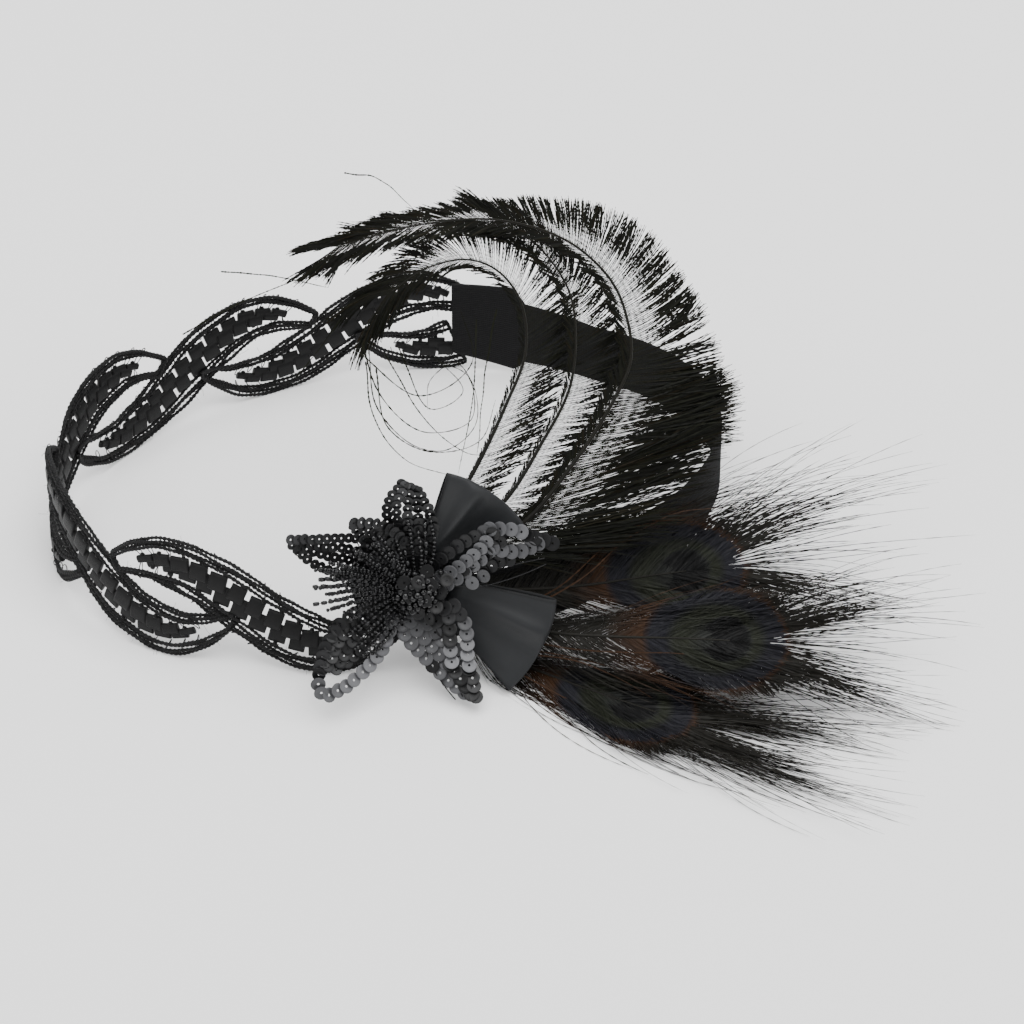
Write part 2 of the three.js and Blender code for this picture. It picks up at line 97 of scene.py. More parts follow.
# Elastic: share of its run, its edges as shares of the trim's height, and layers inside the trim
ELASTIC_THICKNESS = 1.2 * MM
ELASTIC_GAP = 2.5 * MM
ELASTIC_END = 4 * MM
ELASTIC_ROWS = np.array([
    (0, 0.18, 0.9, 1), (0.085, 0.02, 0.86, 1), (0.1, 0.12, 0.72, 1.6), (0.2, 0.04, 0.58, 1.2),
    (0.5, 0.06, 0.62, 1), (0.85, 0.13, 0.66, 1), (0.93, 0.16, 0.68, 0), (1, 0.2, 0.72, 0),
])

# Ornament on its felt pad
FLOWER_HEIGHT = 27.5 * MM
PAD_RADIUS = 19 * MM
PAD_THICKNESS = 1.7 * MM
QUILL_DIAMETER = 1.8 * MM
QUILL_SEAT = 8 * MM
FLOWER_BACK_RADIUS = 10 * MM
FLOWER_BACK_THICKNESS = 2.8 * MM
PETAL_THICKNESS = 0.9 * MM
PETAL_START = 4.5 * MM
FLOWER_REACH = 44 * MM
QUILL_LAYER = ELASTIC_THICKNESS + CLEARANCE + QUILL_DIAMETER / 2
BACK_LAYER = QUILL_LAYER + QUILL_DIAMETER / 2 + CLEARANCE
PETAL_LAYER = BACK_LAYER + FLOWER_BACK_THICKNESS + CLEARANCE
LAYER_STEP = PETAL_THICKNESS + CLEARANCE

# Petals: angle from the right, length, half width and rise as shares of the reach, the sewn
# layer, and the share of the length that beads cover
PETALS = {
    "petal_up": (97, 0.8, 0.18, 0.1, 0, 0.62),
    "petal_upper_left": (131, 0.68, 0.14, 0.18, 1, 0.75),
    "petal_left": (157, 0.96, 0.15, 0.06, 0, 0.6),
    "petal_lower_left": (219, 0.76, 0.135, 0.18, 0, 0.7),
    "sequin_string": (235, 0.98, 0.08, 0.26, 1, 0.0),
    "petal_low": (291, 0.84, 0.22, 0.3, 0, 0.12),
    "petal_right": (15, 0.96, 0.2, 0.2, 0, 0.18),
}
# Strings of sequins: width of a sequin in mm, height above the petal in mm, the painted reflection
# that lights or darkens the sequins at the string's start and end, and its way across and up the
# ornament in mm
SEQUIN_STRINGS = {
    "petal_up": [
        (3.4, 0.8, 0.3, 0.5, [(-6, 14), (-9, 24), (-8.5, 29.5), (-4.5, 35.5)]),
        (3.4, 1.6, 0.2, 0.6, [(-4.5, 14), (-6, 23), (-6, 29), (-3.5, 35)]),
        (3.4, 2.2, 0.1, 0.4, [(-2.5, 13), (-3, 22), (-3, 28), (-2.5, 34.5)]),
        (3.4, 1.8, 0.05, 0.3, [(0.5, 13), (0.5, 21), (0, 27), (-1, 33.5)]),
        (3.6, 1.2, 0.05, 0.3, [(3.5, 13), (5, 20), (3.5, 26), (0, 33)]),
    ],
    "petal_upper_left": [
        (3.6, 1.2, 0.15, 0.5, [(-4, 17), (-9, 22), (-14, 25), (-20, 26)]),
        (3.4, 0.8, 0.1, 0.35, [(-5, 14), (-10, 19), (-15, 22.5), (-19, 25)]),
        (3.4, 0.6, 0.05, 0.3, [(-7, 12), (-13, 15), (-17, 20), (-20, 25)]),
    ],
    "petal_left": [
        (3.3, 1.2, 0.2, 0.55, [(-12, 15.5), (-20, 18), (-30, 18.5), (-38, 19)]),
        (3.3, 0.9, 0.1, 0.45, [(-12, 11.5), (-21, 14.5), (-29, 16), (-36, 18)]),
        (3.3, 0.7, 0.05, 0.35, [(-14, 8), (-21, 11), (-28, 13), (-35, 16.5)]),
        (3.3, 0.5, 0.1, 0.5, [(-16, 4.5), (-24, 7), (-31, 10.5), (-37.5, 17)]),
        (4.4, 3.2, 0.8, 0.9, [(-12.5, 9), (-12, 13), (-10, 17.5)]),
        (4.4, 3.6, 0.75, 0.9, [(-8.5, 9.5), (-7, 13.5), (-6.5, 17.5)]),
    ],
    "petal_lower_left": [
        (3.7, 1.0, 0.1, 0.3, [(-10, -2), (-18, -4.5), (-25, -10), (-30, -21)]),
        (3.7, 1.4, 0.05, 0.4, [(-10, -4), (-18, -8), (-24, -13), (-28, -20)]),
        (3.7, 1.0, 0.1, 0.25, [(-9, -6), (-16, -10), (-21, -15), (-25.5, -21.5)]),
        (3.7, 0.7, 0.05, 0.2, [(-7, -8), (-12, -12), (-18, -17), (-22, -20)]),
    ],
    "sequin_string": [
        (4.6, 1.0, 0.75, 0.95, [(-8, -9), (-9.5, -14), (-12.5, -18.5), (-17.5, -23)]),
        (4.6, 1.2, 0.9, 0.8, [(-20.5, -25), (-24.5, -27), (-30, -28), (-31.5, -24.5)]),
        (4.2, 0.8, 0.5, 0.1, [(-31, -22), (-30, -18), (-28, -13), (-24, -8)]),
    ],
    "petal_low": [
        (4.6, 0.6, 0.65, 0.85, [(-4, -8), (-4.5, -13), (1, -20), (8, -27), (13, -30.5)]),
        (4.6, 1.0, 0.75, 0.8, [(-2.5, -7), (-2, -10.5), (4, -17.5), (10.5, -25), (13.5, -29)]),
        (4.6, 1.4, 0.6, 0.75, [(-1, -6), (0.5, -8), (7, -15.5), (12, -23)]),
        (4.6, 1.8, 0.3, 0.7, [(1, -5), (3.5, -7.5), (7.5, -12.5), (11, -18)]),
        (4.6, 3.6, 0.2, 0.95, [(5.5, -3), (8.5, -6.5), (9.2, -12), (9, -17.5), (9.2, -21)]),
        (4.6, 2.0, 0.1, 0.1, [(9, -22), (11.5, -26), (14.5, -30.5)]),
        (4.6, 3.4, 0.3, 0.95, [(10.5, -5), (13.5, -9), (14.2, -14), (14, -19), (14.3, -22)]),
        (4.6, 2.0, 0.1, 0.1, [(14.5, -23.5), (15.5, -27), (16, -31)]),
    ],
    "petal_right": [
        (4.6, 2.0, 0.8, 0.95, [(5, 2.5), (11.5, 6.5), (15.5, 10), (19.5, 14), (22.5, 18)]),
        (4.6, 1.2, 0.75, 0.9, [(6.5, -0.5), (12.5, 3.5), (17, 7.5), (21.5, 12)]),
        (4.4, 1.0, 0.1, 0.5, [(5, 7.5), (11, 12.5), (17, 16.5), (20, 18.5)]),
        (4.6, 1.6, 0.85, 0.95, [(21.5, 19.5), (26, 19.7), (31, 19)]),
        (4.6, 1.2, 0.9, 0.7, [(22.5, 13), (27.5, 12.2), (32, 13), (36, 15)]),
        (4.6, 0.8, 0.1, 0.1, [(32.5, 17.5), (36.5, 16.5), (40, 15.2)]),
        (4.2, 1.0, 0.1, 0.3, [(14, 6), (19, 10), (25, 15.5)]),
        (4.4, 1.8, 0.85, 0.8, [(16.5, 1.8), (20, 4.2)]),
        (4.2, 1.2, 0.1, 0.15, [(20, 5.5), (24, 8.5), (27.5, 9.5)]),
    ],
}
SEQUIN_STEP = 0.68  # from one sequin of a string to the next, as a share of its width
# Bead fringe: angle, length, half width, rise and layer, as for a petal, and where its strings
# end, across and up the ornament in mm
FRINGE = (188, 0.68, 0.14, 0.26, 1)
FRINGE_ENDS = [(-36, 9.5), (-33.5, 12), (-30, 14), (-34, 6.5), (-33, 3.5), (-30, 1), (-28, -2),
               (-26, 11), (-25, -4.5), (-29, 8)]

# Ribbon leaves: angle, then length, width at the base and at the end, opening of the fold and
# rise, as shares of the flower's reach
RIBBON_LEAVES = {
    "ribbon_leaf_upper": (52, 0.61, 0.25, 0.68, 0.055, 0.023),
    "ribbon_leaf_lower": (-27, 0.7, 0.27, 0.73, 0.059, 0.205),
}
RIBBON_THICKNESS = 1 * MM
RIBBON_ROWS, RIBBON_COLUMNS = 73, 41
RIBBON_ROUNDING = 0.7
RIBBON_FOLD = 1.6 * MM
RIBBON_DIP = 0.9 * MM
CORNER_CUT, CORNER_ROUNDING = 0.1, 2.4
SELVEDGE_FROM, SELVEDGE_SOFT = 0.455, 0.03  # shares of the width

# Barbs of the eye feathers: share of the quill, then angle and length in mm on the upper and on
# the lower side; how far the eye's middle lies from the quill's end, and how the lower side droops
EYE_VANES = {
    "eye_feather_upper": ([
        (0.0, 56, 30, 34, 20), (0.25, 58, 52, 30, 34), (0.5, 50, 68, 26, 40),
        (0.8, 40, 70, 24, 46), (0.93, 26, 72, 18, 60)], 19, 0.6),
    "eye_feather_middle": ([
        (0.0, 24, 20, 34, 20), (0.3, 30, 40, 34, 42), (0.6, 34, 50, 32, 50),
        (0.8, 34, 56, 30, 56), (0.93, 24, 60, 24, 58)], 20, 0.25),
    "eye_feather_lower": ([
        (0.0, 14, 20, 40, 30), (0.25, 22, 42, 40, 52), (0.55, 26, 54, 32, 62),
        (0.8, 28, 66, 22, 66), (0.93, 22, 68, 12, 66)], 26, 0.1),
}
# Single long barbs of the eye feathers that lie over the vanes: across, up and out in mm
RED_STRANDS = [
    [(30, -20, 11), (50, -22, 20), (66, -26, 26), (84, -33, 30), (100, -36, 32)],
    [(28, -22, 11), (46, -22, 19), (60, -27, 25), (74, -36, 29)],
    [(30, -18, 10), (52, -19, 20), (76, -19, 26), (98, -22, 28)],
    [(34, -8, 9), (50, 0, 9), (62, 10, 8), (78, 18, 6), (96, 20, 6)],
    [(30, -9, 8), (44, -2, 8), (56, 8, 7), (74, 22, 4)],
    [(26, -25, 12), (44, -33, 24), (62, -42, 34), (84, -50, 42), (96, -60, 50)],
]
# Eye feathers: the quill's seat as an angle from the right, the vane's tilt, the lowest height
# and the path across, up and out of the ornament, both as shares of the reach
EYE_REACH = 90 * MM
EYE_HALF_LENGTH = 22 * MM
EYE_HALF_WIDTH = 16.5 * MM
EYE_FEATHERS = {
    "eye_feather_upper": (0, 66, 0.13, [
        (0.288, -0.045, 0.027), (0.58, -0.051, 0.024), (0.812, -0.033, 0.02),
        (1.112, -0.001, 0.041)]),
    "eye_feather_middle": (-25, 66, 0.08, [
        (0.249, -0.14, 0.038), (0.432, -0.176, 0.108), (0.622, -0.177, 0.181),
        (0.912, -0.173, 0.262), (1.207, -0.186, 0.324)]),
    "eye_feather_lower": (-50, 90, 0.022, [
        (0.2, -0.215, 0.036), (0.31, -0.28, 0.07), (0.49, -0.34, 0.18), (0.92, -0.47, 0.43)]),
}
SWORD_REACH = 115 * MM
SWORD_STEP = 3 * MM
SWORD_BACK = 0.23
SWORD_BACK_FROM = 14 * MM
SWORD_SETTLE = 40 * MM
# Barbs of the sword feathers: share of the quill, length in mm on the outer and the inner side,
# angle on each side, and the pitch in mm on the outer side
SWORD_VANES = {
    "sword_feather_inner": [
        (0.0, 1, 1, 44, 30, 0.5), (0.1, 13, 1, 42, 30, 0.3), (0.25, 20, 2, 44, 35, 0.22),
        (0.45, 20, 4, 50, 35, 0.2), (0.6, 20, 5, 64, 38, 0.18), (0.75, 14, 8, 58, 38, 0.16),
        (0.88, 13, 14, 38, 28, 0.11), (1.0, 22, 25, 20, 20, 0.05)],
    "sword_feather_middle": [
        (0.0, 1, 1, 44, 30, 0.5), (0.1, 15, 2, 40, 30, 0.26), (0.3, 18, 3, 46, 35, 0.2),
        (0.5, 19, 4, 60, 35, 0.18), (0.65, 16, 6, 66, 38, 0.17), (0.78, 10, 9, 40, 36, 0.14),
        (0.9, 13, 14, 22, 28, 0.11), (1.0, 16, 22, 16, 24, 0.07)],
    "sword_feather_outer": [
        (0.0, 16, 2, 22, 30, 0.16), (0.05, 44, 3, 24, 30, 0.09), (0.16, 54, 5, 33, 30, 0.07),
        (0.26, 50, 6, 42, 35, 0.075), (0.34, 42, 7, 52, 38, 0.075), (0.42, 28, 8, 66, 40, 0.09),
        (0.5, 21, 8, 80, 40, 0.1), (0.58, 18, 8, 76, 38, 0.1), (0.66, 12, 8, 58, 34, 0.1),
        (0.74, 9, 10, 42, 32, 0.11), (0.84, 12, 13, 26, 26, 0.11), (0.93, 16, 16, 17, 22, 0.09),
        (1.0, 15, 19, 14, 22, 0.06)],
}
# How the barbs near the tip of each sword feather fall: across, back and up, per unit of length
SWORD_FALL = {
    "sword_feather_inner": (-0.1, 0.0, -1.5),
    "sword_feather_middle": (-0.5, 0.0, -0.3),
    "sword_feather_outer": (-0.3, 0.0, -0.55),
}
# Barbs that have come loose from the swords and hang in loops: across, up and out in mm
LOOSE_STRANDS = [
    [(-13, 72, -12), (-8, 56, -10), (5, 44, -8), (19, 47, -8), (20, 57, -9), (15, 65, -10),
     (7, 60, -9), (6, 51, -8)],
    [(-12, 66, -12), (-10, 49, -9), (-1, 36, -7), (14, 30, -6)],
    [(-2, 70, -12), (7, 51, -9), (17, 56, -9), (9, 67, -11)],
    [(-9, 64, -11), (-6, 46, -9), (7, 38, -7), (22, 41, -7), (27, 53, -9)],
    [(-15, 70, -12), (4, 55, -10), (20, 64, -11), (17, 81, -14)],
    [(-11, 70, -12), (-9, 52, -10), (2, 40, -8), (12, 38, -8), (21, 46, -9), (19, 60, -11),
     (8, 66, -12)],
    [(22, 77, -14), (20, 54, -9), (15, 31, -6)],
    [(28, 80, -14), (24, 60, -11), (21, 36, -7)],
    [(-6, 68, -12), (6, 47, -9), (18, 37, -7), (26, 36, -7)],
    [(-54, 94, -19), (-38, 92, -18), (-22, 88, -17)],
    [(-66, 76, -16), (-50, 84, -17), (-28, 92, -18)],
    [(-16, 121, -24), (-6, 119, -24), (6, 108, -22)],
    [(-33, 62, -12), (-26, 70, -13), (-18, 80, -15)],
]
# Sword feathers: the quill's seat as an angle from the right, the feather's plane, counted from
# the back, and the path across and up the ornament, as shares of the reach
SWORD_FEATHERS = {
    "sword_feather_inner": (75, 0, [
        (0.17, 0.28), (0.26, 0.44), (0.32, 0.58), (0.31, 0.71), (0.25, 0.79), (0.17, 0.82),
        (0.06, 0.8), (-0.04, 0.74)]),
    "sword_feather_middle": (50, 1, [
        (0.24, 0.2), (0.35, 0.35), (0.43, 0.49), (0.45, 0.65), (0.43, 0.75), (0.35, 0.86),
        (0.25, 0.92)]),
    "sword_feather_outer": (25, 2, [
        (0.29, 0.15), (0.42, 0.29), (0.53, 0.44), (0.59, 0.56), (0.58, 0.68), (0.54, 0.77),
        (0.43, 0.87), (0.25, 0.93), (0.04, 0.925), (-0.17, 0.88)]),
}


# The band's and the ornament's own places

def run_of(path):
    """Lengths along a path from its start to each of its points."""
    gaps = np.linalg.norm(np.diff(path, axis=0), axis=1)
    return np.concatenate([[0], np.cumsum(gaps)])


def read_off(where, run, rows):
    """Rows given along a run, read off at other places of it."""
    return np.stack([np.interp(where, run, column) for column in rows.T], -1)


def loop_table():
    """Runs along the loop's lower edge, with the edge's points and headings."""
    turn = FLOWER_TURN - np.linspace(0, 2 * math.pi, LOOP_POINTS_ROUND)
    flat = np.stack([LOOP_LENGTH / 2 * np.cos(turn), LOOP_DEPTH / 2 * np.sin(turn)], 1)
    heading = np.stack([LOOP_LENGTH / 2 * np.sin(turn), -LOOP_DEPTH / 2 * np.cos(turn)], 1)
    c, s = math.cos(LOOP_TURN), math.sin(LOOP_TURN)
    spin = np.array([[c, s], [-s, c]])
    flat, heading = flat @ spin, heading @ spin
    return run_of(flat), flat, heading / np.linalg.norm(heading, axis=1, keepdims=True)


LOOP_RUNS, LOOP_POINTS, LOOP_HEADINGS = loop_table()


def unit(v):
    v = np.asarray(v, float)
    return v / np.maximum(np.linalg.norm(v, axis=-1, keepdims=True), 1e-12)


def band_axes(run):
    """Place, heading, up and out of the band at runs along the loop."""
    run = np.mod(np.asarray(run, float), LOOP_RUNS[-1])
    spot = read_off(run, LOOP_RUNS, LOOP_POINTS)
    heading = unit(read_off(run, LOOP_RUNS, LOOP_HEADINGS))
    toward_back = np.sin(np.arctan2(spot[..., 1], spot[..., 0]))
    lean = LEAN_NEAR + (LEAN_FAR - LEAN_NEAR) * (toward_back + 1) / 2
    zero = np.zeros_like(lean)
    place = np.stack([spot[..., 0], spot[..., 1], zero], -1)
    along = np.stack([heading[..., 0], heading[..., 1], zero], -1)
    up = np.stack([zero, np.sin(lean), np.cos(lean)], -1)
    return place, along, up, unit(np.cross(up, along))


def on_band_flat(run, height, out):
    place, _, up, outward = band_axes(run)
    return (place + up * np.asarray(height, float)[..., None]
            + outward * np.asarray(out, float)[..., None])


def ornament_frame():
    _, _, up, out = band_axes(np.array(0.0))
    right = unit(np.cross(up, out))
    return on_band_flat(np.array(0.0), np.array(FLOWER_HEIGHT), np.array(0.0)), right, up, out


ORNAMENT_AT, RIGHT, UP, OUT = ornament_frame()


def pad_layer():
    behind = min(
        float((on_band_flat(np.array(side * PAD_RADIUS), np.array(share * TRIM_HEIGHT),
                            np.array(0.0)) - ORNAMENT_AT) @ OUT)
        for side in (-1, 1) for share in (0, 0.5, 1))
    return behind - CLEARANCE - PAD_THICKNESS / 2


def packed_shift():
    """How far the frame stands from the place where the loop's centre is the origin."""
    low, high = (np.array(corner, float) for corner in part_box("felt_pad"))
    return (low + high) / 2 - (ORNAMENT_AT + OUT * pad_layer())


SHIFT = packed_shift()


def on_band(run, height, out):
    return on_band_flat(run, height, out) + SHIFT


def on_ornament(points):
    """Points across, up and out of the ornament, in the frame's own axes."""
    points = np.asarray(points, float)
    return (ORNAMENT_AT + SHIFT + points[..., :1] * RIGHT + points[..., 1:2] * UP
            + points[..., 2:3] * OUT)


# Mesh stock that strips, tubes and beads are laid into

class Stock:
    """Gathers grids of points, and makes them one mesh with a UV map and two attributes."""

    def __init__(self):
        self.points, self.faces, self.uvs, self.tones, self.marks = [], [], [], [], []
        self.count = 0

    def grid(self, points, wrap=False, along=None, across=None, tone=0.5, mark=0.0):
        """Lays many grids at once: points is (grids, rows, columns, 3)."""
        points = np.asarray(points, float)
        if points.ndim == 3:
            points = points[None]
        n, rows, cols, _ = points.shape
        r, c = np.meshgrid(np.arange(rows - 1), np.arange(cols if wrap else cols - 1),
                           indexing="ij")
        r, c = r.ravel(), c.ravel()
        nxt = (c + 1) % cols
        quad = np.stack([r * cols + c, r * cols + nxt, (r + 1) * cols + nxt, (r + 1) * cols + c], 1)
        start = self.count + np.arange(n)[:, None, None] * rows * cols
        self.faces.append((quad[None] + start).reshape(-1, 4))
        along = np.arange(rows) / max(rows - 1, 1) if along is None else np.asarray(along, float)
        along = np.broadcast_to(along, (n, rows))
        span = cols if wrap else cols - 1
        across = np.arange(span + 1) / span if across is None else np.asarray(across, float)
        u = along[:, np.stack([r, r, r + 1, r + 1], 1)]
        v = np.broadcast_to(across[np.stack([c, c + 1, c + 1, c], 1)], u.shape)
        self.uvs.append(np.stack([u, v], -1).reshape(-1, 2))
        shape = (n, rows, cols)

        def spread(value):
            value = np.asarray(value, float)
            while value.ndim < 3:
                value = value[..., None]
            return np.broadcast_to(value, shape).ravel()

        self.tones.append(spread(tone))
        self.marks.append(spread(mark))
        self.points.append(points.reshape(-1, 3))
        self.count += n * rows * cols

    def make(self, name, material, slot, *replaced):
        points = np.concatenate(self.points)
        points[:, 2] = np.maximum(points[:, 2], LOWEST)
        faces = np.concatenate(self.faces)
        mesh = bpy.data.meshes.new(name)
        mesh.vertices.add(len(points))
        mesh.vertices.foreach_set("co", points.ravel())
        mesh.loops.add(faces.size)
        mesh.loops.foreach_set("vertex_index", faces.ravel().astype(np.int32))
        mesh.polygons.add(len(faces))
        mesh.polygons.foreach_set("loop_start", np.arange(0, faces.size, 4, dtype=np.int32))
        uv = mesh.uv_layers.new(name="UVMap")
        uv.data.foreach_set("uv", np.concatenate(self.uvs).ravel())
        for key, values in (("tone", self.tones), ("mark", self.marks)):
            data = mesh.attributes.new(key, "FLOAT", "POINT").data
            data.foreach_set("value", np.concatenate(values))
        mesh.polygons.foreach_set("use_smooth", np.ones(len(faces), bool))
        mesh.update()
        mesh.validate()
        mesh.materials.append(material)
        piece = bpy.data.objects.new(name, mesh)
        bpy.context.scene.collection.objects.link(piece)
        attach(piece, "root")
        if replaced:
            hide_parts(*replaced)
        return piece


def resample(path, step):
    """Points at even steps along a path."""
    run = run_of(path)
    count = max(2, int(round(run[-1] / step)) + 1)
    even = np.linspace(0, run[-1], count)
    return read_off(even, run, path), even


def path_axes(path, hint):
    """Headings along a path, with two directions square to them; hint leans the second."""
    heading = unit(np.gradient(path, axis=-2))
    side = unit(np.cross(np.broadcast_to(hint, path.shape), heading))
    return heading, side, np.cross(heading, side)


def tube(stock, path, radius, hint, sides=6, spin=0.0, lobe=0.0, flat=1.0, tone=0.5, run=None):
    """A tube along a path, or many paths of equal point counts at once."""
    path = np.asarray(path, float)
    if path.ndim == 2:
        path = path[None]
    _, side, face = path_axes(path, hint)
    turn = np.arange(sides) * 2 * math.pi / sides
    spin = np.broadcast_to(np.asarray(spin, float), path.shape[:2])[..., None]
    size = np.broadcast_to(np.asarray(radius, float), path.shape[:2])[..., None]
    size = size * (1 - lobe + lobe * np.cos(2 * turn))
    angle = turn + spin
    points = (path[:, :, None] + (size * np.cos(angle))[..., None] * side[:, :, None]
              + (flat * size * np.sin(angle))[..., None] * face[:, :, None])
    stock.grid(points, wrap=True, along=run, tone=tone)


def capped(stock, points, **words):
    """A closed body from rings of points: the first and last rings shrink to their centres."""
    ends = [points[..., :1, :, :].mean(-2, keepdims=True).repeat(points.shape[-2], -2),
            points[..., -1:, :, :].mean(-2, keepdims=True).repeat(points.shape[-2], -2)]
    stock.grid(np.concatenate([ends[0], points, ends[1]], -3), wrap=True, **words)


def beads(stock, places, axes, radius, hole=0.3, length=0.8, sides=8, rows=6, tone=0.5):
    """Round beads with a hole along each axis."""
    places = np.asarray(places, float)
    axes = unit(np.broadcast_to(axes, places.shape))
    hint = np.where(np.abs(axes[:, 2:]) > 0.8, [[1.0, 0, 0]], [[0, 0, 1.0]])
    side = unit(np.cross(hint, axes))
    other = np.cross(axes, side)
    radius = np.broadcast_to(np.asarray(radius, float), (len(places),))
    ring = np.linspace(0, 2 * math.pi, rows + 1)
    wall = (1 - hole) / 2
    out = hole + wall + wall * np.cos(ring)
    up = length * np.sin(ring)
    turn = np.arange(sides) * 2 * math.pi / sides
    round_ = (np.cos(turn)[None, :, None] * side[:, None, :]
              + np.sin(turn)[None, :, None] * other[:, None, :])
    points = (places[:, None, None]
              + (radius[:, None] * out)[:, :, None, None] * round_[:, None]
              - (radius[:, None] * up)[:, :, None, None] * axes[:, None, None])
    stock.grid(points, wrap=True, tone=tone)


# Shader helpers

def node(tree, kind, inputs=(), **settings):
    made = tree.nodes.new(kind)
    for key, value in settings.items():
        setattr(made, key, value)
    for key, value in dict(inputs).items():
        socket = made.inputs[key]
        if isinstance(value, bpy.types.NodeSocket):
            tree.links.new(value, socket)
        else:
            socket.default_value = value
    return made


def ramp(tree, value, stops):
    made = node(tree, "ShaderNodeValToRGB", {"Fac": value})
    row = made.color_ramp.elements
    while len(row) < len(stops):
        row.new(0.5)
    for element, (position, colour) in zip(row, stops):
        element.position = position
        element.color = (*colour, 1)
    return made.outputs["Color"]


def new_group(name, inputs, outputs):
    tree = bpy.data.node_groups.new(name, "ShaderNodeTree")
    for label, kind, default in inputs:
        socket = tree.interface.new_socket(label, in_out="INPUT", socket_type=kind)
        if default is not None:
            socket.default_value = default
    for label, kind in outputs:
        tree.interface.new_socket(label, in_out="OUTPUT", socket_type=kind)
    return tree, tree.nodes.new("NodeGroupInput"), tree.nodes.new("NodeGroupOutput")


def fibre_group():
    """Fine fibres along one direction of the UV map: height and a mask of lighter fibres."""
    name = "fine_fibres"
    if name in bpy.data.node_groups:
        return bpy.data.node_groups[name]
    tree, given, result = new_group(
        name,
        [("Vector", "NodeSocketVector", None), ("Along", "NodeSocketFloat", 1.0),
         ("Across", "NodeSocketFloat", 8.0)],
        [("Height", "NodeSocketFloat"), ("Mask", "NodeSocketFloat")])
    scale = node(tree, "ShaderNodeCombineXYZ",
                 {"X": given.outputs["Along"], "Y": given.outputs["Across"], "Z": 1.0})
    place = node(tree, "ShaderNodeVectorMath",
                 {0: given.outputs["Vector"], 1: scale.outputs[0]}, operation="MULTIPLY")
    noise = node(tree, "ShaderNodeTexNoise",
                 {"Vector": place.outputs[0], "Scale": 1.0, "Detail": 3.0, "Roughness": 0.6})
    coarse = node(tree, "ShaderNodeTexNoise",
                  {"Vector": place.outputs[0], "Scale": 0.15, "Detail": 1.0})
    tree.links.new(noise.outputs["Fac"], result.inputs["Height"])
    mask = node(tree, "ShaderNodeMath", {0: noise.outputs["Fac"], 1: coarse.outputs["Fac"]},
                operation="MULTIPLY")
    tree.links.new(mask.outputs[0], result.inputs["Mask"])
    return tree


def ply_group():
    """Slanting strands of a twisted or wrapped thread on the UV map; Valley masks painted groove
    shade.
    """
    name = "thread_ply"
    if name in bpy.data.node_groups:
        return bpy.data.node_groups[name]
    tree, given, result = new_group(
        name,
        [("Vector", "NodeSocketVector", None), ("Along", "NodeSocketFloat", 1.0),
         ("Round", "NodeSocketFloat", 1.0)],
        [("Height", "NodeSocketFloat"), ("Valley", "NodeSocketFloat")])
    split = node(tree, "ShaderNodeSeparateXYZ", {"Vector": given.outputs["Vector"]})
    along = node(tree, "ShaderNodeMath", {0: split.outputs["X"], 1: given.outputs["Along"]},
                 operation="MULTIPLY")
    total = node(tree, "ShaderNodeMath",
                 {0: split.outputs["Y"], 1: given.outputs["Round"], 2: along.outputs[0]},
                 operation="MULTIPLY_ADD")
    wave = node(tree, "ShaderNodeMath", {0: total.outputs[0], 1: 0.5}, operation="PINGPONG")
    height = node(tree, "ShaderNodeMath", {0: wave.outputs[0], 1: 2.0}, operation="MULTIPLY")
    soft = node(tree, "ShaderNodeMath", {0: height.outputs[0], 1: 0.5}, operation="POWER")
    valley = node(tree, "ShaderNodeMath", {0: 1.0, 1: soft.outputs[0]}, operation="SUBTRACT")
    tree.links.new(soft.outputs[0], result.inputs["Height"])
    tree.links.new(valley.outputs[0], result.inputs["Valley"])
    return tree


def lay_fibres(tree, place, along, across):
    return node(tree, "ShaderNodeGroup", {"Vector": place, "Along": along, "Across": across},
                node_tree=fibre_group())


def lay_ply(tree, place, along, around):
    return node(tree, "ShaderNodeGroup", {"Vector": place, "Along": along, "Round": around},
                node_tree=ply_group())


def raised(tree, fibres, share, ply):
    """The ply's height with a share of the fibres' height on it."""
    return node(tree, "ShaderNodeMath",
                {0: fibres.outputs["Height"], 1: share, 2: ply.outputs["Height"]},
                operation="MULTIPLY_ADD").outputs[0]


def times(colour, factor):
    return [min(1.0, c * factor) for c in colour]


def shader(name, roughness, **plain):
    """A new material; the plain words are sockets that are the same all over."""
    material = bpy.data.materials.new(name)
    material.use_nodes = True
    tree = material.node_tree
    surface = tree.nodes["Principled BSDF"]
    surface.inputs["Roughness"].default_value = roughness
    for key, value in plain.items():
        surface.inputs[key.replace("_", " ")].default_value = value
    return material, tree, surface


def bumped(tree, surface, height, strength, distance):
    bump = node(tree, "ShaderNodeBump",
                {"Height": height, "Strength": strength, "Distance": distance})
    tree.links.new(bump.outputs["Normal"], surface.inputs["Normal"])


def between(tree, factor, first, second):
    first, second = (value if isinstance(value, bpy.types.NodeSocket) else (*value, 1)
                     for value in (first, second))
    return node(tree, "ShaderNodeMix", {0: factor, 6: first, 7: second},
                data_type="RGBA").outputs[2]


def painted(tree, surface, value, socket="Base Color"):
    tree.links.new(value, surface.inputs[socket])


def attribute(tree, name):
    return node(tree, "ShaderNodeAttribute", attribute_name=name).outputs["Fac"]


def uv_of(tree):
    return node(tree, "ShaderNodeUVMap", uv_map="UVMap").outputs["UV"]


# Sizes and colours

def length_property(name, description, default):
    return FloatProperty(name=name, description=description, default=default, unit="LENGTH",
                         precision=5)


def colour_property(name, description, default):
    return FloatVectorProperty(name=name, description=description, default=default,
                               subtype="COLOR", size=3, min=0, max=1)


